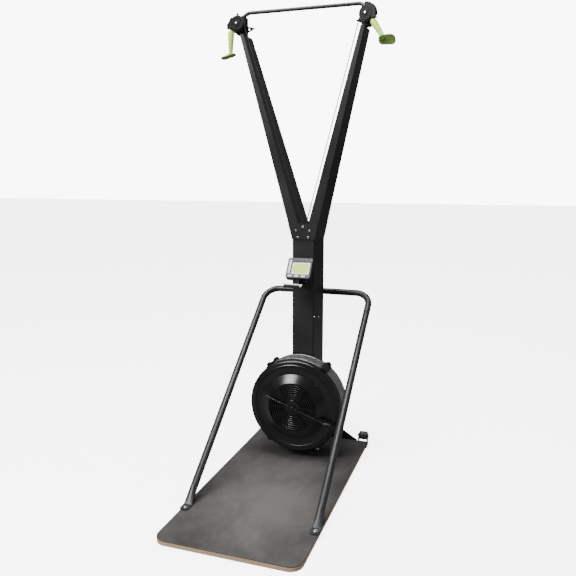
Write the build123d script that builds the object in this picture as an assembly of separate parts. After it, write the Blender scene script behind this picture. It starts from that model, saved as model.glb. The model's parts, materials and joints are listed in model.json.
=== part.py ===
from build123d import *
from math import asin, atan2, cos, hypot, pi, radians, sin, tan
import os

os.makedirs("parts", exist_ok=True)

# A standing ski trainer: a deck, a column that forks into two arms, a fan brake on the
# column, and two handles on cords that run over a pulley at the top of each arm.
# Millimetres. Origin: middle of the deck's underside. +X is the user's right hand side,
# +Y points from the user to the column, +Z is up. Most left pieces mirror the right ones.

# Deck
deck_width = 600.0
deck_length = 1160.0
board_thickness = 18.5
mat_thickness = 3.5
deck_front_radius = 52.0
deck_rear_radius = 10.0

# Column
column_width = 112.0
column_depth = 180.0
column_wall = 3.0
column_corner = 7.0
column_top = 1090.0
column_rear_setback = 3.5
foot_plate_thickness = 6.0
foot_plate_margin = 38.0
foot_plate_front = 18.0
foot_bolt_radius = 5.0
top_plate_thickness = 5.0
cord_opening_radius = 18.0
side_bolt_radius = 3.0
side_nut_radius = 4.4
side_bolt_inset = (11.5, 84.5)
side_bolt_height = (713.0, 696.0)
screw_clear = 0.25
deck_screw_depth = 15.0

# Arms, from the column's top plate to the pulley heads
arm_top = 2046.0
arm_top_inner = 277.0
arm_top_width = 18.0
arm_top_forward = 60.5
arm_top_depth = 115.0
arm_root_gap = 4.4
arm_wall = 3.0
crotch_half_gap = 13.0
crotch_cut_height = 60.0
gusset_thickness = 4.0
gusset_height = 77.0
gusset_bolt_rise = (61.0, 43.0, 10.0)
gusset_bolt_spread = (0.0, 34.0, 26.0)
gusset_bolt_radius = 3.5
gusset_head_radius = 5.2

# Cords and the block that leads them into the column
cord_diameter = 5.0
shock_cord_diameter = 7.0
cord_gap = 0.3
cord_hole_clearance = 1.6
fairlead_rise = 70.0
fairlead_size = 22.0
fairlead_depth = 42.0
fairlead_inset = 18.5
fairlead_spread = 6.5
fairlead_bend = 40.0
fairlead_mouth = 6.0
mouth_depth = 8.0

# Pulley heads; the pulleys' faces are turned inward by the yaw
head_yaw = 12.0
pulley_outset = 9.0
pulley_forward = 5.0
pulley_rise = 44.0
pulley_radius = 34.0
groove_depth = 7.8
pulley_width = 16.0
groove_floor = 9.0
groove_mouth = 13.0
axle_radius = 4.0
running_gap = 0.05
side_gap = 3.0
hub_play = 0.2
boss_radius = 9.0
back_disc_margin = 6.0
back_disc_thickness = 4.0
front_disc_inset = 4.0
front_disc_thickness = 3.0
hood_margin = 12.0
hood_thickness = 3.0
hood_start = -16.0
hood_end = 98.0
wing_width = 19.0
left_tip_reach = 38.0
left_tip_drop = 2.0
left_tip_radius = 5.0
left_hood_wall = 3.5
sill_drop = 18.0
sill_thickness = 4.0
sill_inset = 8.0
axle_boss_length = 12.0
block_inner_margin = 1.0
block_outer_margin = 19.0
block_setback = 53.0
block_length = 150.0
block_height = 80.0
block_wall = 3.0
post_outset = 6.0
post_setback = 20.7
post_radius = 6.0
post_height = 15.0
hook_reach = 33.0
hook_rise = 16.0
hook_height = 28.0
hook_thickness = 5.0
hook_hole_radius = 4.5
head_bolt_radius = 4.0
head_bolt_setback = 44.0

# Spreader bar between the pulley heads
bar_radius = 8.5
bar_rise = 20.0
bar_inset = 15.0
bar_bend_inset = 9.0
bar_bend_radius = 22.0
bar_end_run = 30.0
bar_end_forward = 18.5

# Handles
tip_radius = 5.8
tip_height = 10.0
ball_radius = 8.5
grip_length = 98.0
grip_neck_radius = 12.5
grip_root_radius = 14.5
grip_middle_radius = 12.4
grip_end_radius = 9.5
base_neck_radius = 10.5
base_neck_length = 6.0
base_width = 74.0
base_depth = 48.0
base_thickness = 8.0
base_corner = 20.0
right_lean_out = 33.0
right_lean_back = -14.0
left_lean_out = 2.0
left_lean_back = 0.0
left_base_tilt = 16.0
right_base_tilt = 33.0
right_base_back = -34.0
left_base_outset = 13.0
right_base_outset = 12.0
base_socket_gap = 1.2
stop_gap = 0.3

# Brace: one tube bent to a U, from the deck's sides to a stand-off behind the column
brace_radius = 16.5
brace_wall = 2.0
brace_inset = 15.0
brace_foot_setback = 249.0
brace_foot_run = 81.0
brace_start_rise = 56.0
brace_bar_reach = 78.5
brace_bar_z = 799.0
brace_bend = 78.0
tab_length = 50.0
tab_width = 40.0
tab_thickness = 5.0
foot_screw_radius = 4.0
standoff_half_width = 18.0
standoff_half_height = 34.0
standoff_plate = 5.0
standoff_plate_half_height = 62.0
clamp_gap = 0.6
clamp_reach = 21.0
clamp_bolt_radius = 3.0

# Rear plate across the foot of the column, and the transport wheels behind the deck
cross_plate_thickness = 5.0
cross_plate_rise = 120.0
cross_plate_inset = 55.0
cross_plate_edge = 4.0
wheel_radius = 22.0
wheel_width = 42.0
wheel_inset = 27.0
wheel_setback = 28.0
wheel_z = 43.0
wheel_side_gap = 0.7
wheel_plate = 4.0
wheel_plate_low = 3.0
wheel_ear_radius = 11.0
side_strap_length = 45.0

# Fan brake
fan_z = 294.0
fan_radius = 229.0
shell_wall = 3.0
fan_depth = 161.5
louvre_step = 27.0
cover_side = 38.0
band_width = 77.0
rim_round = 11.0
cone_outer = 161.0
cone_inner = 123.0
pivot_radius = 9.0
slot_count = 8
slot_first_radius = 39.0
slot_pitch = 10.6
slot_width = 4.6
spoke_count = 6
spoke_width = 6.0
spoke_depth = 4.0
back_bore_radius = 26.0
fan_screw_radius = 3.0
fan_screw_x = 36.0
fan_screw_z = 60.0
clip_half_angle = 36.0
clip_width = 40.0
clip_thickness = 4.0
clip_overlap = 17.0
clip_lug_height = 9.0
clip_lug_width = 26.0
clip_lug_length = 15.0
wheel_gap = 24.0
blade_count = 24
blade_thickness = 2.0
blade_inner = 80.0
blade_front_gap = 5.0
fan_disc_inset = 25.0
fan_disc_thickness = 4.0
fan_hub_radius = 24.0
fan_hub_length = 20.0
weight_radius = 120.0
weight_thickness = 10.0
shaft_radius = 8.5
shaft_inset = 23.0
damper_thickness = 1.6
damper_gap = 1.0
damper_inset = 5.0
damper_openings = 6
damper_opening_inner = 40.0
damper_opening_half = 12.0
lever_angle = -20.1
lever_left = 148.0
lever_right = 165.0
lever_width = 7.0
lever_thickness = 4.0
lever_standoff = 3.0
knob_length = 55.0
knob_height = 26.0
knob_depth = 17.0

# Drive inside the column
bearing_wall = 11.5
bearing_width = 10.0
housing_wall = 12.0
drum_wall = 7.0
spool_wall = 4.0
flange_rise = 10.0
drum_slot = 14.0
flange_width = 2.0
clutch_wall = 4.5
spacer_wall = 3.0
right_spool_inset = 47.5
left_spool_inset = 109.5
idler_z = 950.0
idler_core = 7.2
idler_flange_rise = 7.3
idler_width = 12.0
idler_groove = 8.4
anchor_z = 70.0
anchor_thickness = 8.0
anchor_half_width = 6.0

# Monitor
monitor_width = 123.0
monitor_height = 107.0
monitor_depth = 30.0
monitor_tilt = 34.6
monitor_wall = 2.5
monitor_corner = 9.0
monitor_reach = 64.6
monitor_rise = 80.5
bezel_depth = 9.0
lcd_width = 88.0
lcd_height = 62.0
lcd_margin = 2.0
lcd_thickness = 1.6
lcd_offset_x = 8.0
lcd_offset_y = -1.0
board_inset = 9.0
board_depth = 14.0
post_in_monitor = 3.0
button_width = 21.0
button_height = 10.0
button_pitch = 33.0
button_offset = -6.0
button_row = -43.5
button_stand = 2.0
button_gap = 0.4
button_flange = 1.5
hinge_reach = 66.5
hinge_z = 884.0
hinge_pin_radius = 3.0
hinge_ear_radius = 6.5
hinge_tongue_half = 7.0
hinge_ear_gap = 0.3
bracket_side = 4.0
bracket_half_width = 22.0
bracket_plate = 4.0
bracket_rise = 61.0
arm_screw_radius = 3.0
ledge_left = -60.0
ledge_right = 16.0
ledge_reach = 53.0
ledge_depth = 41.0
ledge_thickness = 3.0
ledge_lip = 15.5
knob_tab = 22.0
ledge_knob_radius = 6.5
ledge_knob_length = 11.0

# Sizes that follow from those above
deck_top = board_thickness + mat_thickness
deck_rear = deck_length / 2
deck_side = deck_width / 2
column_half = column_width / 2
column_rear = deck_rear - column_rear_setback
column_front = column_rear - column_depth
column_foot = deck_top + foot_plate_thickness
inner_front = column_front + column_wall
inner_rear = column_rear - column_wall
arm_root = column_top + top_plate_thickness
arm_top_outer = arm_top_inner + arm_top_width
arm_top_front = column_front - arm_top_forward
arm_top_rear = arm_top_front + arm_top_depth
pulley_x = arm_top_outer + pulley_outset
pulley_y = arm_top_front - pulley_forward
pulley_z = arm_top + pulley_rise
pulley_core = pulley_radius - groove_depth
back_disc_radius = pulley_radius + back_disc_margin
front_disc_radius = pulley_radius - front_disc_inset
hood_radius = pulley_radius + hood_margin
sill_inner = pulley_radius - sill_inset
block_inner = arm_top_inner - block_inner_margin
block_outer = arm_top_outer + block_outer_margin
block_rear = arm_top_rear - block_setback
post_x = pulley_x + post_outset
post_y = pulley_y + post_setback
head_bolt_y = arm_top_front + head_bolt_setback
bar_y = block_rear - bar_inset
bar_bend_x = block_inner - bar_bend_inset
bar_end_x = bar_bend_x + bar_end_run
bar_end_y = bar_y - bar_end_forward
block_top = arm_top + block_height
cord_radius = cord_diameter / 2
shock_radius = shock_cord_diameter / 2
pulley_line = pulley_core + cord_radius + cord_gap
clutch_radius = shaft_radius + clutch_wall
spacer_radius = shaft_radius + spacer_wall
bearing_radius = shaft_radius + bearing_wall
housing_radius = bearing_radius + housing_wall
drum_core = clutch_radius + drum_wall
spool_core = clutch_radius + spool_wall
drum_flange = drum_core + flange_rise
idler_flange = idler_core + idler_flange_rise
drum_line = drum_core + cord_radius + cord_gap
spool_line = spool_core + shock_radius + cord_gap
idler_line = idler_core + shock_radius + cord_gap
idler_x = -spool_line - idler_line
anchor_x = idler_x - idler_line
right_spool_y = column_front + right_spool_inset
left_spool_y = column_front + left_spool_inset
drum_pitch = drum_slot + flange_width
drum_length = 2 * drum_slot + 3 * flange_width
fairlead_y = column_front + fairlead_inset
fairlead_top = arm_root + fairlead_rise
fairlead_low = fairlead_top - fairlead_size
outward = Vector(cos(radians(head_yaw)), -sin(radians(head_yaw)), 0)
facing = Vector(-sin(radians(head_yaw)), -cos(radians(head_yaw)), 0)
pulley_center = Vector(pulley_x, pulley_y, pulley_z)
head_plane = Plane(origin=pulley_center, x_dir=outward, z_dir=facing)
back_gap = -pulley_width / 2 - side_gap
front_gap = pulley_width / 2 + side_gap
cord_end = pulley_center + outward * pulley_line
handle_root_z = pulley_z - sill_drop - sill_thickness - stop_gap
brace_half_width = deck_side - brace_inset
brace_foot_y = brace_foot_setback - deck_rear
brace_start_y = brace_foot_y + brace_foot_run
brace_start_z = deck_top + brace_start_rise
brace_bar_y = column_rear + brace_bar_reach
cross_plate_half = deck_side - cross_plate_inset
wheel_x = deck_side - wheel_inset
wheel_y = deck_rear + wheel_setback
louvre_y = column_front - fan_depth
rim_y = louvre_y + louvre_step
cover_rear_y = rim_y + cover_side
band_rear_y = cover_rear_y + band_width
fan_disc_y = band_rear_y - fan_disc_inset
shaft_front_y = louvre_y + shaft_inset
damper_radius = cone_inner - damper_inset
cover_inner_y = louvre_y + shell_wall
spoke_rear_y = cover_inner_y + spoke_depth
damper_y = spoke_rear_y + damper_gap
lever_y = louvre_y - lever_standoff
fan_inner = fan_radius - shell_wall
blade_radius = fan_radius - wheel_gap
blade_front = rim_y + shell_wall + blade_front_gap
weight_rear = fan_disc_y + fan_disc_thickness + weight_thickness
monitor_y = column_front - monitor_reach
monitor_z = hinge_z + monitor_rise
hinge_y = column_front - hinge_reach
bracket_top = hinge_z + bracket_rise
ledge_front_y = hinge_y - ledge_reach
ledge_rear_y = ledge_front_y + ledge_depth
tilt = radians(monitor_tilt)
face_normal = Vector(0, -cos(tilt), sin(tilt))
face_plane = Plane(origin=(0, monitor_y, monitor_z), x_dir=(1, 0, 0), z_dir=face_normal)


def save(name, *shapes):
    # Write one sub-part, as one solid or as a group of separate solids.
    solids = [solid for shape in shapes for solid in shape.solids()]
    body = solids[0] if len(solids) == 1 else Compound(children=solids)
    body.label = name
    export_step(body, "parts/" + name + ".step")


def mirrored(shape):
    # The same sub-part on the user's left side.
    return mirror(shape, about=Plane.YZ)


def save_pair(name, shape):
    save("right_" + name, shape)
    save("left_" + name, mirrored(shape))


def slab(x0, x1, y0, y1, z0, z1):
    # A block between two corners.
    middle = ((x0 + x1) / 2, (y0 + y1) / 2, (z0 + z1) / 2)
    return Pos(*middle) * Box(x1 - x0, y1 - y0, z1 - z0)


def rod(start, direction, radius, length):
    # A round bar from a point along a direction.
    return extrude(Plane(origin=start, z_dir=direction) * Circle(radius), length)


def ring(start, direction, outer, inner, length):
    # A round bar with a bore.
    face = Circle(outer) - Circle(inner)
    return extrude(Plane(origin=start, z_dir=direction) * face, length)


def front_view(corners, y0, y1):
    # A prism whose outline is given as seen by the user, in (x, z).
    face = make_face(Polyline(*[(x, y0, z) for x, z in corners], close=True))
    return extrude(face, y1 - y0, dir=(0, 1, 0))


def side_view(corners, x0, x1):
    # A prism whose outline is given as seen from the right, in (y, z).
    face = make_face(Polyline(*[(x0, y, z) for y, z in corners], close=True))
    return extrude(face, x1 - x0, dir=(1, 0, 0))


def turned(corners, rounds=()):
    # A profile of (radius, y) corners turned about the fan's axis, some of them rounded.
    face = make_face(Polyline(*corners, close=True))
    for place, radius in rounds:
        corner = min(face.vertices(), key=lambda v: hypot(v.X - place[0], v.Y - place[1]))
        face = fillet([corner], radius)
    return Pos(0, 0, fan_z) * revolve(face, axis=Axis.Y)


def bolt(seat, direction, shank, length, head_radius, head_height):
    # A domed bolt: its head stands on the seat and its shank goes the other way.
    seat = Vector(*seat)
    direction = Vector(*direction).normalized()
    head = rod(seat, direction, head_radius, head_height)
    rims = head.edges().filter_by(GeomType.CIRCLE)
    head = fillet([max(rims, key=lambda e: e.arc_center.dot(direction))], head_height * 0.45)
    return head + rod(seat, direction * -1, shank, length)


def tube_along(name, points, bends, radius, bore=0.0):
    # A round cord, bar or tube along straight runs joined by arcs.
    path = FilletPolyline(*points, radius=bends)
    section = Circle(radius) - Circle(bore) if bore > 0 else Circle(radius)
    body = sweep(Plane(origin=path @ 0, z_dir=path % 0) * section, path=path)
    area = pi * (radius ** 2 - bore ** 2)
    print(name, "length", round(path.length, 1), "bends", [round(b, 1) for b in bends],
          "volume ratio", round(body.volume / (area * path.length), 4))
    return body


# Deck

foot_front = column_front - foot_plate_front
foot_half = column_half + foot_plate_margin
foot_bolt_places = [
    (side * (foot_half - 16), y, column_foot)
    for side in (-1, 1) for y in (foot_front + 22, column_rear - 30)
]
tab_top = deck_top + tab_thickness
tab_screw_places = [(side * brace_half_width, brace_foot_y, tab_top) for side in (-1, 1)]
strap_x = deck_side + wheel_plate
strap_y = deck_rear - side_strap_length + 14
strap_z = board_thickness * 0.6
strap_places = [(side * strap_x, strap_y, strap_z) for side in (-1, 1)]


def deck_outline():
    outline = Rectangle(deck_width, deck_length)
    outline = fillet(outline.vertices().group_by(Axis.Y)[0], deck_front_radius)
    return fillet(outline.vertices().group_by(Axis.Y)[-1], deck_rear_radius)


def drill_down(shape, seats, shank, depth):
    for x, y, z in seats:
        shape -= rod((x, y, z + 1), (0, 0, -1), shank + screw_clear, depth + 1)
    return shape


def deck():
    outline = deck_outline()
    board = extrude(outline, board_thickness)
    board = chamfer(board.edges().group_by(Axis.Z)[0], 1.2)
    mat = extrude(Pos(0, 0, board_thickness) * outline, mat_thickness)
    mat = fillet(mat.edges().group_by(Axis.Z)[-1], 1.2)
    for seats, shank, above in (
        (foot_bolt_places, foot_bolt_radius, foot_plate_thickness),
        (tab_screw_places, foot_screw_radius, tab_thickness),
    ):
        depth = above + deck_screw_depth + screw_clear
        board = drill_down(board, seats, shank, depth)
        mat = drill_down(mat, seats, shank, depth)
    for x, y, z in strap_places:
        inward = (-1 if x > 0 else 1, 0, 0)
        depth = wheel_plate + deck_screw_depth + screw_clear
        board -= rod((x, y, z), inward, clamp_bolt_radius + screw_clear, depth)
    save("deck_board", board)
    save("deck_mat", mat)


# Column and arms

fan_screw_places = [
    (x, inner_front - column_wall - shell_wall, fan_z + z)
    for x in (-fan_screw_x, fan_screw_x) for z in (-fan_screw_z, fan_screw_z)
]
monitor_screw_places = [
    (x, column_front - bracket_plate, z)
    for x in (-bracket_half_width + 5.2, bracket_half_width - 5.2) for z in (hinge_z + 8, bracket_top - 8)
]
standoff_places = [
    (0, column_rear + standoff_plate, brace_bar_z + side * (standoff_plate_half_height - 9))
    for side in (-1, 1)
]
side_bolt_places = [
    (column_half, column_front + inset, height)
    for inset, height in zip(side_bolt_inset, side_bolt_height)
]


def column():
    outer = slab(-column_half, column_half, column_front, column_rear, column_foot, column_top)
    outer = fillet(outer.edges().filter_by(Axis.Z), column_corner)
    inner = slab(-column_half + column_wall, column_half - column_wall, inner_front, inner_rear,
                 column_foot, column_top)
    inner = fillet(inner.edges().filter_by(Axis.Z), column_corner - column_wall)
    foot = slab(-foot_half, foot_half, foot_front, column_rear, deck_top, column_foot)
    foot = fillet(foot.edges().filter_by(Axis.Z), column_corner)
    foot = drill_down(foot, foot_bolt_places, foot_bolt_radius, foot_plate_thickness + 1)
    top = slab(-column_half, column_half, column_front, column_rear, column_top, arm_root)
    top = fillet(top.edges().filter_by(Axis.Z), column_corner)
    top -= rod((0, fairlead_y + 4, column_top - 1), (0, 0, 1), cord_opening_radius, top_plate_thickness + 2)
    bridge = slab(anchor_x - anchor_half_width, anchor_x + anchor_half_width,
                  inner_front - 1, inner_rear + 1, anchor_z - anchor_thickness, anchor_z)
    body = (outer - inner) + foot + top + bridge
    through = column_wall + 2
    body -= rod((0, column_front - 1, fan_z), (0, 1, 0), shaft_radius + 5, through)
    for x, y, z in fan_screw_places:
        body -= rod((x, column_front - 1, z), (0, 1, 0), fan_screw_radius + screw_clear, through)
    for x, y, z in monitor_screw_places:
        body -= rod((x, column_front - 1, z), (0, 1, 0), arm_screw_radius + screw_clear, through)
    for x, y, z in standoff_places:
        body -= rod((x, column_rear + 1, z), (0, -1, 0), clamp_bolt_radius + screw_clear, through)
    for x, y, z in side_bolt_places:
        body -= rod((column_half + 1, y, z), (-1, 0, 0), side_bolt_radius + screw_clear, through)
    body -= rod((idler_x, column_front - 1, idler_z), (0, 1, 0), axle_radius + screw_clear, column_depth + 2)
    save("column", body)


def along_arm(low, high, z):
    # A size that changes evenly from the arms' root to their top.
    return low + (high - low) * (z - arm_root) / (arm_top - arm_root)


def arm_front_y(z):
    return along_arm(column_front, arm_top_front, z)


def arm_rear_y(z):
    return along_arm(column_rear, arm_top_rear, z)


def arm_inner_x(z):
    return along_arm(arm_root_gap, arm_top_inner, z)


def arm_outer_x(z):
    return along_arm(column_half, arm_top_outer, z)


def arm_taper(wall, high):
    low = arm_root
    front = front_view(
        [(arm_inner_x(low) + wall, low), (arm_outer_x(low) - wall, low),
         (arm_outer_x(high) - wall, high), (arm_inner_x(high) + wall, high)],
        0, column_rear + 100,
    )
    side = side_view(
        [(arm_front_y(low) + wall, low), (arm_rear_y(low) - wall, low),
         (arm_rear_y(high) - wall, high), (arm_front_y(high) + wall, high)],
        0, arm_top_outer + 100,
    )
    return front & side


arm_lean = Vector(0, -1, (arm_top_front - column_front) / (arm_top - arm_root)).normalized()
gusset_top = arm_root + gusset_height
gusset_bolt_places = [
    (side * spread, arm_front_y(arm_root + rise) - gusset_thickness, arm_root + rise)
    for rise, spread in zip(gusset_bolt_rise, gusset_bolt_spread)
    for side in ((1,) if spread == 0 else (1, -1))
]
head_bolt_x = (arm_top_inner + arm_top_outer) / 2


def drill_gusset(shape):
    for place in gusset_bolt_places:
        start = Vector(*place) + arm_lean * 2
        shape -= rod(start, arm_lean * -1, gusset_bolt_radius + screw_clear, 2 * gusset_thickness + 4)
    return shape


def arms():
    cut_top = arm_root + crotch_cut_height
    channel = slab(-1, crotch_half_gap, 0, column_rear + 50, arm_root - 1, cut_top)
    rib = slab(-1, crotch_half_gap + arm_wall, 0, column_rear + 50, arm_root - 1, cut_top)
    body = arm_taper(0, arm_top) - channel - (arm_taper(arm_wall, arm_top - arm_wall) - rib)
    body = drill_gusset(body)
    hole = head_bolt_radius + screw_clear
    body -= rod((head_bolt_x, head_bolt_y, arm_top + 1), (0, 0, -1), hole, arm_wall + 2)
    save_pair("arm", body)


def gussets():
    # A leaning plate ties the arms' fronts together, and another one ties their rears.
    low = arm_root
    high = gusset_top
    outline = [(-column_half, low), (column_half, low), (arm_outer_x(high), high), (-arm_outer_x(high), high)]
    trapezoid = front_view(outline, 0, column_rear + 100)
    front = side_view(
        [(column_front - gusset_thickness, low), (column_front, low), (arm_front_y(high), high),
         (arm_front_y(high) - gusset_thickness, high)], -200, 200)
    rear = side_view(
        [(column_rear, low), (column_rear + gusset_thickness, low),
         (arm_rear_y(high) + gusset_thickness, high), (arm_rear_y(high), high)], -200, 200)
    save("gusset_plates", drill_gusset(front & trapezoid), rear & trapezoid)
    length = 2 * gusset_thickness
    save("gusset_bolts", *[
        bolt(place, arm_lean, gusset_bolt_radius, length, gusset_head_radius, 3.2)
        for place in gusset_bolt_places
    ])


def fairlead():
    # A plastic wedge between the arms leads both cords down into the column.
    low = fairlead_low
    high = fairlead_top
    wedge = front_view(
        [(-arm_inner_x(low), low), (arm_inner_x(low), low),
         (arm_inner_x(high), high), (-arm_inner_x(high), high)],
        0, column_rear)
    block = side_view(
        [(arm_front_y(low), low), (arm_front_y(low) + fairlead_depth, low),
         (arm_front_y(high) + fairlead_depth, high), (arm_front_y(high), high)], -100, 100)
    body = drill_gusset(wedge & block)
    hole = cord_radius + cord_hole_clearance
    for side in (-1, 1):
        x = side * fairlead_spread
        body -= rod((x, fairlead_y, low - 1), (0, 0, 1), hole, fairlead_size + 2)
        for z, up in ((high - mouth_depth, 1), (low + mouth_depth, -1)):
            mouth = Plane(origin=(x, fairlead_y, z), z_dir=(0, 0, up))
            body -= loft([mouth * Circle(hole), mouth.offset(mouth_depth + 0.1) * Circle(fairlead_mouth)])
    save("crotch_fairlead", body)


# Pulley heads

def behind(shape, depth):
    # Keep what lies behind a plane across the head at a depth along its facing.
    return split(shape, bisect_by=head_plane.offset(depth), keep=Keep.BOTTOM)


def across_head(sketch, start, end):
    # A plate cut to a sketch in the head's plane, between two depths.
    return extrude(head_plane.offset(start) * sketch, end - start)


def arc_band(inner, outer, start, end):
    # Part of a ring, between two angles counted up from the outward side.
    band = Circle(outer) - Circle(inner)
    middle = (start + end) / 2
    reach = outer * 3
    wedges = []
    for a, b in ((start, middle), (middle, end)):
        rays = [(reach * cos(radians(angle)), reach * sin(radians(angle))) for angle in (a, b)]
        wedges.append(make_face(Polyline((0, 0), *rays, close=True)))
    return band & (wedges[0] + wedges[1])


def drill_axle(shape):
    return shape - rod(pulley_center + facing * -60, facing, axle_radius + screw_clear, 120)


def pulley_brackets():
    back = back_gap - back_disc_thickness
    block_front = block_rear - block_length
    block = behind(slab(block_inner, block_outer, block_front, block_rear, arm_top, block_top), back)
    inside = slab(block_inner + block_wall, block_outer - block_wall, block_front, block_rear - block_wall,
                  arm_top + block_wall, block_top - block_wall)
    inside = behind(inside, back - block_wall)
    post = rod((post_x, post_y, block_top - 12), (0, 0, 1), post_radius, post_height + 12)
    post = fillet(post.edges().group_by(Axis.Z)[-1], 2)
    low = arm_top + hook_rise
    tip = block_inner - hook_reach
    hook = front_view(
        [(block_inner + 1, low), (block_inner + 1, low + hook_height), (tip, low + hook_height - 9),
         (tip, low + hook_height - 13)], block_rear - hook_thickness, block_rear)
    hook -= rod((block_inner - 6, block_rear + 1, low + hook_height / 2 + 1), (0, -1, 0),
                hook_hole_radius, hook_thickness + 2)
    body = (block - inside) + across_head(Circle(back_disc_radius), back, back_gap)
    body += across_head(Circle(boss_radius), back - axle_boss_length, back)
    body += across_head(Circle(boss_radius), back_gap, -pulley_width / 2 - hub_play)
    body += post + hook
    body = drill_axle(body)
    hole = head_bolt_radius + screw_clear
    body -= rod((head_bolt_x, head_bolt_y, arm_top - 1), (0, 0, 1), hole, block_wall + 2)
    save_pair("pulley_bracket", body)


def pulley_guard(plate, hood):
    # Front plate, the hood over the pulley and the sill that the cord leaves through.
    front = front_gap + front_disc_thickness
    sill_top = -sill_drop
    sill_low = sill_top - sill_thickness
    middle_x = (sill_inner + hood_radius) / 2
    span_x = hood_radius - sill_inner
    lug = Pos(middle_x, (sill_low - 2) / 2) * Rectangle(span_x, -2 - sill_low)
    sill = Pos(middle_x, (sill_low + sill_top) / 2) * Rectangle(span_x, sill_thickness)
    body = across_head(Circle(front_disc_radius) + plate + lug, front_gap, front)
    body += across_head(hood + sill, back_gap, front_gap)
    body -= rod((cord_end.X, cord_end.Y, pulley_z + sill_low - 1), (0, 0, 1),
                cord_radius + cord_hole_clearance, sill_thickness + 2)
    body -= across_head(Circle(pulley_radius + 0.8), back_gap - 1, front_gap)
    body += across_head(Circle(boss_radius), pulley_width / 2 + hub_play, front_gap)
    return drill_axle(body)


def pulley_guards():
    # A round hood on the right, and one drawn out to a blunt tip on the left.
    wing = arc_band(hood_radius - wing_width, hood_radius, hood_start, hood_end)
    hood = arc_band(hood_radius - hood_thickness, hood_radius, hood_start, hood_end)
    save("right_pulley_guard", pulley_guard(wing, hood))
    tip = Pos(left_tip_reach, -left_tip_drop) * Circle(left_tip_radius)
    plate = make_hull([*Circle(front_disc_radius).edges(), *tip.edges()])
    hull = make_hull([*Circle(pulley_radius + left_hood_wall).edges(), *tip.edges()])
    hood = (hull - Circle(pulley_radius + 0.8)) & arc_band(1, 2 * hood_radius, hood_start, hood_end / 2)
    save("left_pulley_guard", mirrored(pulley_guard(plate, hood)))


def pulleys():
    half = pulley_width / 2
    bore = axle_radius + running_gap
    profile = make_face(Polyline(
        (bore, -half), (pulley_radius, -half), (pulley_radius, -groove_mouth / 2),
        (pulley_core, -groove_floor / 2), (pulley_core, groove_floor / 2),
        (pulley_radius, groove_mouth / 2), (pulley_radius, half), (bore, half), close=True,
    ))
    body = revolve(profile, axis=Axis.Y)
    body = Plane(origin=pulley_center, x_dir=outward, z_dir=(0, 0, -1)) * body
    for index in range(5):
        angle = 2 * pi * index / 5
        body -= across_head(Pos(21 * cos(angle), 21 * sin(angle)) * Circle(6), -half - 1, half + 1)
    save_pair("pulley", body)


def head_bolts():
    seat = pulley_center + facing * (front_gap + front_disc_thickness)
    tail = pulley_center + facing * (back_gap - back_disc_thickness - axle_boss_length)
    axle = bolt(seat, facing, axle_radius, (seat - tail).length, 7.5, 4.5)
    upright = bolt((head_bolt_x, head_bolt_y, arm_top + block_wall), (0, 0, 1),
                   head_bolt_radius, block_wall + arm_wall + 3, 6.5, 4)
    save("pulley_head_bolts", axle, mirrored(axle), upright, mirrored(upright))


def spreader_bar():
    # A bar whose ends dip to the tops of the two pulley heads.
    high = block_top + bar_rise
    low = block_top - 6
    points = [(-bar_end_x, bar_end_y, low), (-bar_bend_x, bar_y, high),
              (bar_bend_x, bar_y, high), (bar_end_x, bar_end_y, low)]
    bar = tube_along("spreader_bar", points, [bar_bend_radius] * 2, bar_radius)
    save("spreader_bar", split(bar, bisect_by=Plane.XY.offset(block_top), keep=Keep.TOP))


# Cords

def drive_cord(side, spool_y):
    # From the drum, through the fairlead, along the arm and over the pulley.
    out = Vector(side * outward.X, outward.Y, 0)
    center = Vector(side * pulley_x, pulley_y, pulley_z)
    drum = Vector(drum_line, spool_y + drum_pitch, fan_z)
    lead = Vector(side * fairlead_spread, fairlead_y, fairlead_top - 5)
    across = (center - lead).dot(out)
    rise = center.Z - lead.Z
    climb = atan2(rise, across) + asin(pulley_line / hypot(across, rise))
    up = Vector(0, 0, 1)
    corner_in = center - out * (pulley_line * tan(climb / 2)) + up * pulley_line
    corner_out = center + out * pulley_line + up * pulley_line
    end = center + out * pulley_line
    wrap = pulley_line * 0.99
    return tube_along("drive cord", [drum, lead, corner_in, corner_out, end],
                      [fairlead_bend, wrap, wrap], cord_radius)


def shock_cord(spool_y):
    # Up from the spool, over its idler and down to the anchor bridge.
    over = idler_z + idler_line
    points = [(-spool_line, spool_y, fan_z), (-spool_line, spool_y, over),
              (anchor_x, spool_y, over), (anchor_x, spool_y, anchor_z)]
    return tube_along("shock cord", points, [idler_line * 0.99] * 2, shock_radius)


def cords():
    save("right_drive_cord", drive_cord(1, right_spool_y))
    save("left_drive_cord", drive_cord(-1, left_spool_y))
    save("shock_cords", shock_cord(right_spool_y), shock_cord(left_spool_y))
    lead = rod(cord_end, (0, 0, -1), cord_radius, pulley_z - handle_root_z)
    save_pair("cord_lead", lead)


# Handles

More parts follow.
